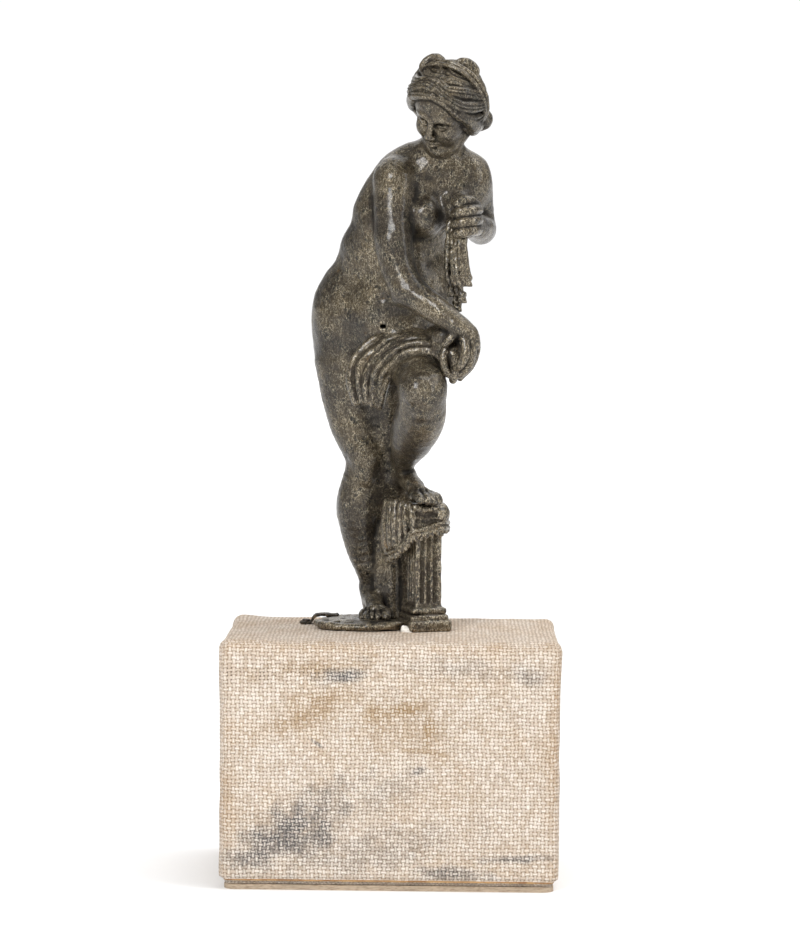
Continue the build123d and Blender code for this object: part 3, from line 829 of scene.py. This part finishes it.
# Standing leg: thigh, knee, calf, ankle.
wax.rope([
    (-12.2, 8.8, 158, 10.6), (-13.2, 8.8, 146, 9.9), (-12, 8.4, 134, 8.5), (-10.4, 7.4, 126, 7.3),
    (-8.5, 6.8, 117.5, 5.5),
    (-9.1, 8.6, 110, 6.2), (-9.9, 9.6, 103.5, 6.5), (-9.3, 10.6, 96, 5.6), (-7.9, 11.2, 88, 4.2),
    (-6.1, 11.8, 81, 3.1), (-5.7, 12, 76, 3.1),
], 4)
for centre, radii, blend in (
    ((-8.3, 2.4, 118.5), (3.4, 2.2, 3.9), 2.5),
    ((-8.2, 2.9, 113.4), (2, 1.6, 2.6), 2),
    ((-10.6, 13, 104.5), (5, 4.2, 8.5), 3),
    ((-8.6, 11.6, 80), (1.2, 1.6, 1.7), 1.4),
    ((-3.3, 11.2, 80.8), (1.2, 1.6, 1.7), 1.4),
):
    wax.egg(centre, radii, blend)
# Standing foot.
wax.egg((-6.1, 15.6, 74.9), (2.9, 3.9, 3.3), 1.8)
wax.rope([(-5.8, 12.4, 78.2, 3.1), (-5.3, 7.4, 76.6, 3), (-4.9, 3.4, 74.6, 2.4)], 1.6)
wax.rope([(-8, 3.2, 73.5, 1.7), (-5, 2.8, 74, 2.1), (-2.4, 3.2, 73.8, 2)], 1.4)
for x, y, tip, thick in (
    (-2.2, -1, -1.9, 1.5), (-4.15, -1.3, -4.2, 1.12), (-5.7, -1, -5.95, 1.05), (-7.1, -0.3, -7.45, 1),
    (-8.4, 0.8, -8.9, 0.95),
):
    wax.rope([
        (x, 3.2, 73.9, thick), (tip, y + 1.2, 73.5, thick), (tip, y, 72.0 + thick * 0.8, thick * 0.92),
    ], 0.35)
for x in (-3.3, -5, -6.6, -7.9):
    wax.crease([(x + 0.2, 3, 75.2), (x, 0.6, 74.4), (x, -1.6, 72.6)], 0.5, 0.55)

# Raised leg: thigh towards the front, knee, shin going back down, and foot on the pillar.
wax.rope([
    (-0.5, 5.5, 155, 10), (3, -3, 149, 8), (5.8, -11, 144.4, 6.9), (7.7, -18.5, 140.8, 6.6),
    (8.3, -22, 138.4, 6.4),
], 5)
wax.rope([
    (8.3, -21.2, 138.2, 6.3), (7.6, -16.5, 131.4, 7), (5.4, -8.5, 125.6, 6.5), (3.7, -1.5, 120.4, 4.5),
    (2.9, 3.4, 116.2, 3), (2.9, 6, 113.2, 2.8),
], 1.6)
for centre, radii, blend in (
    ((7.2, -26.4, 138.6), (3.7, 2.7, 3.9), 1.8),
    ((8, -24.6, 133.6), (2.2, 2, 2.8), 1.8),
    ((11.8, -22.6, 140.5), (2.6, 3, 3.4), 2),
    ((4.6, -22.4, 140.5), (2.4, 3, 3.4), 2),
    ((5, 5.4, 113.2), (1.1, 1.4, 1.5), 1),
    ((2.2, 10, 109.6), (2.6, 3.4, 3.3), 1.8),
):
    wax.egg(centre, radii, blend)
wax.rope([(2.9, 6.2, 113, 2.9), (4.9, 1.2, 111.6, 2.8), (7.4, -3.6, 108.9, 2.3)], 1.4)
wax.rope([(6.2, -5, 108, 1.9), (8.8, -4.6, 108.2, 2.1), (11.2, -3.4, 107.6, 1.7)], 1.2)
for x, y, tip_x, tip_y, thick in (
    (6.7, -5.4, 7.6, -10, 1.5), (8.5, -5.4, 9.6, -9.8, 1.15), (9.8, -4.8, 11.1, -8.9, 1.08),
    (11, -4, 12.3, -7.6, 1), (11.8, -3, 13.2, -5.9, 0.95),
):
    wax.rope([
        (x, y, 108.2, thick), ((x + tip_x) / 2, (y + tip_y) / 2 - 0.8, 108, thick),
        (tip_x, tip_y, 106.1 + thick * 0.75, thick * 0.9),
    ], 0.35)

for x, y in ((8.5, -8.6), (10.2, -8.4), (11.5, -7.4), (12.6, -5.6)):
    wax.crease([(x - 1.2, y + 3.4, 110), (x - 0.3, y + 1, 109.2), (x, y - 1.2, 107.2)], 0.5, 0.55)

# The post under her raised heel, square-backed, and the web of bronze left above it between her legs.
wax.rope([
    (-1.6, 9.6, 103, 3.2), (-1.9, 8.8, 112, 3.2), (-1.8, 6.6, 122, 3.8), (-1.6, 3.4, 132, 4.8),
    (-1.8, 0.6, 142, 5.8),
], 3.6)
wax.rope([(-0.4, 7.8, 70, 2.3), (-0.7, 7.6, 84, 2.2), (-1.4, 7.6, 96, 2.5), (-1, 9.6, 103, 2.4)], 1)
wax.rope([(-3.2, 8.6, 70, 2.4), (-3.2, 8.4, 84, 2.3), (-3.6, 8.6, 96, 2.3), (-3.2, 10, 103, 2.2)], 1.2)
wax.brick((2, 9.2, 90), (2.6, 1.6, 19), 8, 0.5, 0.8)

# Right arm, across to the thigh.
wax.egg((-0.6, -9.8, 196.5), (5.6, 6, 6.8), 2.5)
wax.rope([
    (-0.2, -10.2, 196, 5.8), (-0.8, -12.4, 187, 5.3), (-0.3, -13.8, 180, 5.35), (0.9, -15, 173, 5),
    (3.5, -16.6, 166.8, 4.6),
], 1.6)
wax.rope([
    (3.5, -16.6, 166.8, 4.5), (8.3, -19.2, 163.2, 4.25), (13.4, -21.8, 159.8, 3.6), (18, -23.6, 156.8, 2.8),
], 1.8)
wax.egg((1.8, -15.4, 163.6), (2.4, 2.6, 2.2), 1.6)
# Right hand: the back of it, seen edge on, and the fingers closing round the cloth.
wax.rope([(17.8, -23.2, 156.9, 2.6), (20.4, -23.4, 154.6, 2.7), (21.6, -22.8, 151.6, 2.4)], 1.2)
for run in (
    [(22.2, -21.4, 153.6, 1.6), (22.6, -21.6, 149.6, 1.45), (21.2, -20.8, 145.8, 1.35), (18.9, -20, 143, 1.2)],
    [(21.2, -23.6, 153, 1.65), (21.6, -24.4, 149, 1.5), (20.3, -23.6, 145.2, 1.35), (18.2, -22.4, 143, 1.2)],
    [(19.6, -24.8, 152.6, 1.55), (19.8, -26, 149.2, 1.4), (18.8, -25.4, 146.4, 1.25), (17.6, -24.4, 145, 1.1)],
):
    wax.rope(run, 0.25)
wax.egg((19.6, -21.4, 149.6), (2.7, 3, 5.4), 0.8)
wax.egg((14.8, -18.8, 153.2), (4.6, 3.4, 3.4), 1.2)
wax.rope([(17.4, -23, 155, 1.6), (15.6, -24, 152.8, 1.35), (14.2, -24, 151.4, 1.1)], 0.8)

# Left arm, elbow drawn back, and the fist at her breast.
wax.egg((21.2, -3, 198.2), (4.8, 6, 6.2), 2.5)
wax.rope([(21.3, -3, 198, 5.2), (22.9, 1.8, 191, 4.6), (24, 7.4, 184.2, 4.3)], 2)
wax.rope([(24, 7.6, 183.6, 4.2), (24.2, 0, 183.4, 4.1), (23.2, -8, 184.2, 3.4), (21.8, -13, 185.2, 2.7)], 1.8)
wax.egg((20.2, -15.4, 185.6), (3.5, 3.7, 4.8), 1.4)
for level, thick in ((188.4, 1.65), (185.5, 1.7), (182.8, 1.5)):
    wax.rope([
        (23, -15.4, level + 0.3, thick * 0.95), (21.6, -19, level + 0.1, thick),
        (18.6, -20.2, level - 0.5, thick * 0.92), (16.6, -18.6, level - 1, thick * 0.8),
    ], 0.25)
wax.rope([(22.4, -14.2, 189.8, 1.7), (20.2, -17.8, 191.2, 1.6), (17.6, -19, 190.4, 1.3)], 0.4)
wax.egg((17.8, -17.2, 191.2), (2.4, 2.2, 1.8), 0.8)

# Neck and the strong muscles of the bent nape.
wax.rope([(10.8, -3.6, 200, 6.2), (12.6, -6.2, 206, 5.6), (14.8, -8.6, 212, 5.3)], 3)
wax.crease([(9, -12.6, 197.5), (12.5, -13, 196.5), (16.5, -12.4, 197.5)], 2.4, 0.5)
wax.crease([(11.6, -13.4, 193), (12.8, -14.2, 188.5), (13, -13, 184)], 2.6, 0.8)

# Folds of flesh, the spine, the navel and the hollows.
wax.egg((-3.2, -7, 156), (1.1, 7, 0.7), 0.3, carve=True)
wax.crease([(10, 7, 203), (4, 8.6, 192), (-3, 11, 178), (-6.4, 17.5, 164)], 4.5, 0.5)
wax.crease([(-6.6, 18.5, 165), (-6.9, 20.5, 161), (-7.4, 21.6, 155), (-7.4, 19, 148)], 3.2, 1)
wax.crease([(-19, 14, 146.6), (-12.5, 19, 145.6), (-8, 17, 146.4)], 3.2, 0.5)
wax.crease([(-6.2, -1.4, 195), (-6.6, -3.4, 187), (-6.2, -5.5, 180)], 2, 0.6)
wax.roughen(5, 0.16, 17)
wax.roughen(1.3, 0.045, 18)
wax.stand(plate_top)
woman = wax.cast("bathing_woman", patina)
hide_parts("figure_casting")

# Head, in its own directions: aside to her left, forward to her face, and up to her crown. Her face is bent
# down and turned a little to her right.
head_wax = Wax((-1, -34, 199), (31, 5, 236), 0.21)
head = np.array([14.2, -14, 216.6])
forward = np.array([-0.50, -0.66, -0.56])
up = np.array([-0.02, -0.638, 0.770])
forward, up = forward / np.linalg.norm(forward), up / np.linalg.norm(up)
aside = np.cross(up, forward)
aside /= np.linalg.norm(aside)
up = np.cross(forward, aside)
head_turn = np.column_stack([aside, forward, up])


def on_head(a, f, u, thick=None):
    place = head + a * aside + f * forward + u * up
    return tuple(place) if thick is None else (*place, thick)


def on_scalp(round_it, height, lift, thick=None):
    """A place on the skull: degrees round it from her forehead, degrees up, and millimetres out."""
    lon, lat = radians(round_it), radians(height)
    a = (9.4 + lift) * cos(lat) * sin(lon)
    f = (9.5 + lift) * cos(lat) * cos(lon) - 0.6
    return on_head(a, f, (9.2 + lift) * sin(lat) + 3, thick)


def head_egg(place, radii, blend, carve=False):
    head_wax.egg(on_head(*place), radii, blend, head_turn, carve)


def head_rope(points, blend):
    head_wax.rope([on_head(*point) for point in points], blend)


def head_crease(points, width, depth):
    head_wax.crease([on_head(*point) for point in points], width, depth)


head_egg((0, -0.6, 3), (9.2, 9.3, 9), 1)
head_egg((0, 1.6, -3.2), (6.6, 6.9, 8.3), 2.5)
head_egg((0, 4.4, 4.4), (6.2, 4, 4.6), 2)
head_egg((0, 6.2, -9.4), (2.7, 2.3, 2.1), 2.6)
head_wax.rope([on_head(0.5, -4, -4, 5.6), (13.4, -8, 207, 4.6), (12.4, -6.2, 201, 4.2)], 2)
for side in (-1, 1):
    head_rope([(5.7 * side, -0.5, -5, 2), (4.1 * side, 3.6, -8.2, 1.8), (1.5 * side, 6.2, -10, 1.6)], 2)
    head_egg((3.6 * side, 5.9, -3.4), (2.5, 2.2, 2.6), 2)
    # Eye: a socket, the ball, two lids and the brow.
    head_egg((2.9 * side, 8.3, 0.1), (2, 1.35, 1.25), 1.1, carve=True)
    head_egg((2.85 * side, 6.95, -0.05), (1.7, 1.3, 1.1), 0.25)
    head_rope([
        (1.2 * side, 7.8, -0.1, 0.25), (2.7 * side, 8.5, 0.35, 0.4), (4.5 * side, 7.1, -0.2, 0.25),
    ], 0.25)
    head_rope([
        (1.4 * side, 7.7, -0.5, 0.2), (2.8 * side, 8.2, -0.95, 0.26), (4.3 * side, 7.1, -0.5, 0.2),
    ], 0.25)
    head_rope([(1.0 * side, 8.3, 1.8, 0.5), (2.9 * side, 8.6, 2.4, 0.55), (5.1 * side, 6.8, 1.6, 0.4)], 1.2)
    head_egg((0.95 * side, 9.5, -3.5), (0.72, 0.8, 0.65), 0.45)
    head_crease([(1.6 * side, 9, -4.4), (2.5 * side, 8.3, -5.6)], 0.9, 0.15)
    head_crease([(0.5 * side, 10.2, -4.15), (0.62 * side, 9.7, -4.2)], 0.35, 0.3)
head_rope([(0, 8.4, 1.6, 0.7), (0, 9.5, -0.9, 0.75), (0, 10.5, -3.1, 0.95)], 0.7)
head_rope([
    (-1.9, 8, -6.1, 0.3), (-0.7, 8.8, -5.75, 0.48), (0, 8.85, -5.9, 0.45), (0.7, 8.8, -5.75, 0.48),
    (1.9, 8, -6.1, 0.3),
], 0.4)
head_rope([(-1.5, 7.9, -6.7, 0.35), (0, 8.65, -6.95, 0.6), (1.5, 7.9, -6.7, 0.35)], 0.4)
head_crease([(-2, 8.3, -6.25), (0, 9.4, -6.35), (2, 8.3, -6.25)], 0.4, 0.35)
head_crease([(-0.9, 8.2, -8), (0.9, 8.2, -8)], 1.1, 0.3)

# Hair: waves from the parting back over the ears, with finer lines in them.
for side in (-1, 1):
    for number, (lift, width) in enumerate(((0.3, 1.7), (0.5, 1.75), (0.4, 1.7), (0.1, 1.5), (-0.2, 1.4))):
        lock = []
        for round_it, low_edge, gather in (
            (5, 38, 11), (28, 29, 13.5), (52, 12, 16.5), (74, -5, 18.5), (98, -20, 19), (124, -27, 17),
            (150, -22, 14),
        ):
            wiggle = 5.2 * sin(radians(round_it * 3.4) + number * 1.1 + side)
            thick = width * (0.75 + 0.35 * sin(radians(min(round_it, 120) * 1.35)))
            lock.append((round_it * side, low_edge + number * gather + wiggle * (round_it > 10), thick))
        head_wax.rope([on_scalp(a, b, lift, thick) for a, b, thick in lock], 0.2, 5)
        for shift in (-2.2, 2.6):
            head_wax.crease([on_scalp(a, b + shift, lift + thick * 0.85) for a, b, thick in lock], 0.5, 0.34, 5)
    head_rope([
        (7.4 * side, 5.6, 5, 1.3), (8.9 * side, 3.4, 1.6, 1.9), (9.3 * side, 0.8, -1.8, 2),
        (8.0 * side, -3.2, -4.6, 1.8),
    ], 0.5)
    head_rope([(8.0 * side, 2.8, -1.6, 1.2), (8.2 * side, 0, -4.4, 1.6), (6.6 * side, -4.4, -6.6, 1.6)], 0.5)
# Long combed locks from the fillet down to the nape.
for number in range(-4, 5):
    head_wax.rope([
        on_scalp(180 - number * 13, 78, 0.1, 0.9),
        on_scalp(180 - number * 17, 45, 0.3, 1.25),
        on_scalp(180 - number * 17, 14, 0.3, 1.3),
        on_scalp(180 - number * 13, -14, 0, 1.1),
        on_head(number * 1.1, -6.8, -6.2, 0.8),
    ], 0.3, 5)
# The low bun, wound round.
bun = np.array(on_head(6.6, -6.8, -5.6))
head_wax.egg(bun, (3.6, 3.6, 3.3), 0.7)
for turn in range(2):
    ring = []
    for step in range(9):
        angle = radians(step * 45 + turn * 20)
        spread = 2.9 - turn * 1.3
        ring.append((*(bun + np.array([
            spread * cos(angle) + 0.6 * turn, -1.3 - turn * 0.7, spread * sin(angle),
        ])), 0.6))
    head_wax.rope(ring, 0.25, 3)
# The fillet: two thin bands side by side over the top of her head, behind the waves.
for band in (0, 1.5):
    ring = []
    for step in range(19):
        angle = radians(step * 13 - 27)
        ring.append(on_head(11.1 * cos(angle), -1.3 - band - 0.4 * cos(angle), 3.1 + 10.7 * sin(angle), 0.66))
    head_wax.rope(ring, 0.25, 2)
# Two knots behind it, each a lock turned over on itself, and a small lump between them.
for place, half, lean in (((10, -16, 228.4), (3.7, 3, 2.5), -30), ((19.7, -17.6, 227.4), (3.6, 2.8, 2.2), 34)):
    head_wax.egg(place, half, 0.8, (0, lean, 0))
    c, s = cos(radians(-lean)), sin(radians(-lean))
    ring = []
    for step in range(11):
        angle = radians(step * 36)
        a, b = (half[0] - 0.6) * cos(angle), (half[2] - 0.5) * sin(angle)
        thick = 0.8 + 0.2 * sin(angle)
        ring.append((place[0] + a * c - b * s, place[1] - 1.5, place[2] + a * s + b * c, thick))
    head_wax.rope(ring, 0.7, 3)
    for shift in (-1, 0.2, 1.4):
        x, y, z = place[0] - shift * s, place[1], place[2] + shift * c
        head_wax.crease([(x - 3 * c, y - 2.6, z - 3 * s), (x + 3 * c, y - 3.2, z + 3 * s)], 0.45, 0.35)
head_wax.egg((15.4, -17.6, 228.3), (2.6, 2.2, 1.7), 1)
head_wax.roughen(1.6, 0.05, 31)
head_wax.roughen(0.7, 0.03, 32)
head_patina = bronze("head_patina", speckle=0.75, light=1.15, pits=0.8, hollow_shade=0.75)
woman_head = head_wax.cast("bathing_woman_head", head_patina, triangles=150000)
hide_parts("figure_casting")

# ---- Cloth over her raised thigh ---------------------------------
# Bronze cloth modelled on separately: it wraps the thigh in close rings, hangs in a heavy lobe of pleats
# between her legs, and its free end is bunched under her right hand.

wrap = Wax((-16, -31, 129), (26, 4, 160), 0.3)
wrap.rope([
    (-0.6, -3.5, 148.6, 7.6), (3.4, -8, 146.4, 7.5), (6.2, -12.6, 144.2, 7.2), (7.6, -16, 142.4, 6.9),
], 1)
for centre, radii, blend in (
    ((-7.2, -7.2, 142.8), (4.8, 3.9, 8.8), 2),
    ((-3.4, -8.4, 145.4), (4.6, 4, 7.4), 2),
    ((12.4, -12.5, 151.8), (4.8, 5, 5), 2),
    ((16.2, -18.6, 148), (3, 4.2, 4.6), 1.2),
):
    wrap.egg(centre, radii, blend)
# Folds: arches over the thigh, from the widest at her lap to the narrowest above the knee. Each comes down her
# right side into the hanging lobe.
lap_arch = np.array([
    (-10.4, -9, 134.6), (-12, -8.4, 140.6), (-11.2, -8, 146.2), (-7.4, -8, 150.6), (-1.6, -8.2, 153.6),
    (5, -8.8, 154.8),
    (11.2, -10.4, 153.4), (15.6, -13.6, 149.8), (16.9, -16.2, 145),
])
knee_arch = np.array([
    (-3.6, -11.4, 133.6), (-3, -13, 138.2), (-1.2, -15.2, 142.8), (0.8, -17, 146), (3.8, -18.2, 148.3),
    (7.6, -19, 149.2),
    (11.4, -19.6, 148.4), (14.2, -20, 145.8), (15.2, -20, 142.8),
])
draw = np.random.default_rng(41)
for number in range(10):
    share = number / 9
    ridge = number % 2 == 0
    arch = lap_arch + (knee_arch - lap_arch) * share
    arch[:, 1] -= 1.7 * sin(pi * share) - (0 if ridge else 0.55)
    arch[:, 2] += 0.9 * sin(pi * share) * np.linspace(-1, 1, 9) ** 2
    arch += draw.normal(0, 0.22, arch.shape)
    thick = (1.25 if ridge else 1.05) * (1 + draw.normal(0, 0.12, 9)) * np.array([
        0.95, 1.1, 1.1, 1, 1, 1, 1, 0.95, 0.8,
    ])
    wrap.rope([(*place, size) for place, size in zip(arch, thick)], 0.3, 5)
for number in range(9):
    share = (number + 0.5) / 9
    arch = lap_arch + (knee_arch - lap_arch) * share
    arch[:, 1] -= 1.7 * sin(pi * share) + 1.2
    arch += draw.normal(0, 0.2, arch.shape)
    if number % 3 == 1:
        arch = arch[3:]
    wrap.crease([tuple(place) for place in arch], 0.6, 0.32, 5)
# The bunched end under her hand.
wrap.rope([
    (12.6, -18.4, 151.6, 2.4), (16.4, -21.4, 149.2, 2.4), (17.4, -22.6, 144.6, 1.7),
    (16.6, -22.4, 141.6, 1.2),
], 1.2)
wrap.rope([
    (14.4, -18.6, 150.6, 1.6), (18.6, -20.4, 148.2, 1.8), (19.4, -20.6, 144.6, 1.3),
    (18.6, -20.2, 142, 0.9),
], 0.8)
wrap.rope([
    (14.6, -22.8, 150.4, 1.1), (13.9, -23.6, 147.2, 1.2), (14.8, -23.6, 143.8, 1.1),
    (16.8, -23, 142.4, 0.9),
], 0.4)
for x in (15.2, 16.8, 18.2):
    wrap.crease([(x - 1.2, -24.6, 150), (x, -25.4, 146), (x - 0.6, -24.6, 142)], 0.7, 0.5)
wrap.roughen(2, 0.10, 23)
wrap = wrap.cast("thigh_cloth", bronze("thigh_patina", speckle=1.15, light=1.3, hollow_shade=0.5))
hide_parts("thigh_drapery")

# ---- Towel in her left fist --------------------------------------
# A narrow bronze towel, modelled as twisted strands that hang from the fist, doubled back on itself, with a
# knot and tassels at its ends.

towel = Wax((10, -25, 158), (25, -9, 192), 0.22)
draw = np.random.default_rng(43)
for run in (
    [(19.4, -18.6, 182, 0.95), (19.4, -19.2, 177.4, 1), (20.2, -19.2, 172.8, 1.1), (20.6, -18.8, 169.6, 1)],
    [(18.3, -19, 182, 0.9), (18.1, -19.6, 177, 0.95), (18.9, -19.6, 172, 1.1), (19.6, -19, 168.6, 0.9)],
    [(17.2, -18.6, 182, 0.9), (17, -19, 175, 0.95), (17.6, -19.2, 169.6, 1.1), (18.8, -18.8, 165.4, 0.8)],
    [(16.2, -18, 183, 0.8), (15.9, -18.6, 176, 0.85), (16.5, -18.8, 169.6, 0.95), (17.6, -18.4, 164.8, 0.7)],
    [(15.6, -17, 185, 0.9), (14.9, -17.4, 178, 0.8), (15, -17.6, 171, 0.85), (16.1, -17.6, 166.6, 0.8)],
    [(17.8, -16.4, 184, 2), (17.4, -16.8, 174, 1.9), (17.6, -16.8, 166.8, 1.4)],
    [(16.8, -17.8, 167, 1), (17.2, -17.8, 164.4, 0.8), (17.6, -17.6, 162, 0.7)],
):
    strand = [(x + draw.normal(0, 0.15), y + draw.normal(0, 0.15), z, thick) for x, y, z, thick in run]
    towel.rope(strand, 0.2, 5)
for x, y, z in ((20.4, -18.9, 169.6), (18.9, -18.7, 165.2), (16.1, -17.6, 166.8), (17.5, -17.8, 162.8)):
    towel.egg((x, y, z), (1.3, 1.2, 1), 0.4)
    for strand in range(-2, 3):
        towel.rope([
            (x + strand * 0.34, y - 0.5, z - 0.4, 0.36), (x + strand * 0.5, y - 0.5, z - 2, 0.34),
        ], 0.12)
towel.roughen(1.1, 0.16, 29)
towel = towel.cast("hanging_towel_cast", bronze("towel_patina", speckle=0.9, light=0.9))
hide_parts("hanging_towel")

# ---- Table, light and camera -------------------------------------
# The piece stands on a plain white sweep, under broad soft lights from the left and above, with a fill at the
# right.

floor = bpy.data.objects.new("floor", bpy.data.meshes.new("floor"))
sweep = bmesh.new()
bmesh.ops.create_grid(sweep, x_segments=1, y_segments=1, size=6.0)
sweep.to_mesh(floor.data)
sweep.free()
bpy.context.collection.objects.link(floor)
paper = Finish("white_sweep", Roughness=0.9)
tooth = paper.place.grain(40.0, 3.0)
paper.feed(Base_Color=paper.colour((0.93, 0.93, 0.93)).mixed((0.9, 0.9, 0.9, 1), tooth))
floor.data.materials.append(paper.material)

# The room is dim above and behind the camera, and bright beyond the table and low down all round.
world = bpy.data.worlds.new("studio")
world.use_nodes = True
room = Wire(world.node_tree, None)
way = room.node("ShaderNodeTexCoord", {}, {}, "Generated")
beyond = way.parts()[1].step(0.90, 0.97).at_least(1 - way.parts()[2].step(0.0, 0.05))
shade = way.mixed((0.24, 0.24, 0.24, 1), 1.0).mixed((1.03, 1.03, 1.03, 1), beyond)
world.node_tree.links.new(shade.socket, world.node_tree.nodes["Background"].inputs["Color"])
bpy.context.scene.world = world


def softbox(name, place, aim, width, height, power):
    light = bpy.data.lights.new(name, "AREA")
    light.shape = "RECTANGLE"
    light.size, light.size_y = width, height
    light.energy = power
    lamp = bpy.data.objects.new(name, light)
    lamp.location = place
    lamp.rotation_euler = (Vector(aim) - Vector(place)).to_track_quat("-Z", "Y").to_euler()
    bpy.context.collection.objects.link(lamp)


def wide_light(name, place, strength, softness):
    light = bpy.data.lights.new(name, "SUN")
    light.energy = strength
    light.angle = radians(softness)
    lamp = bpy.data.objects.new(name, light)
    lamp.rotation_euler = (-Vector(place)).to_track_quat("-Z", "Y").to_euler()
    bpy.context.collection.objects.link(lamp)


wide_light("ceiling", (0.35, 0.0, 1.0), 1.7, 50)
wide_light("ceiling_right", (0.8, -0.1, 0.75), 0.6, 40)
softbox("front_left", (-0.38, -0.85, 0.66), (0, 0, 0.16), 0.34, 0.42, 9.0)
softbox("right_edge", (0.75, -0.35, 0.4), (0, 0, 0.14), 0.2, 0.6, 1.6)

softbox("table_far", (0, 3.5, 2.2), (0, 3.51, 0), 5, 4, 75)

camera = bpy.data.objects.new("camera", bpy.data.cameras.new("camera"))
camera.location = (0.01565, -0.86506, 0.1716)
camera.data.lens = 116.7
camera.data.sensor_width = 36
camera.data.sensor_fit = "AUTO"
look = Vector((-0.01602, 0.99774, -0.06523))
aimed = look.to_track_quat("-Z", "Y").to_matrix()
camera.rotation_euler = (aimed @ Matrix.Rotation(radians(0.49), 3, "Z")).to_euler()
camera.data.clip_start, camera.data.clip_end = 0.05, 20
bpy.context.collection.objects.link(camera)
bpy.context.scene.camera = camera
bpy.context.scene.view_settings.view_transform = "Standard"
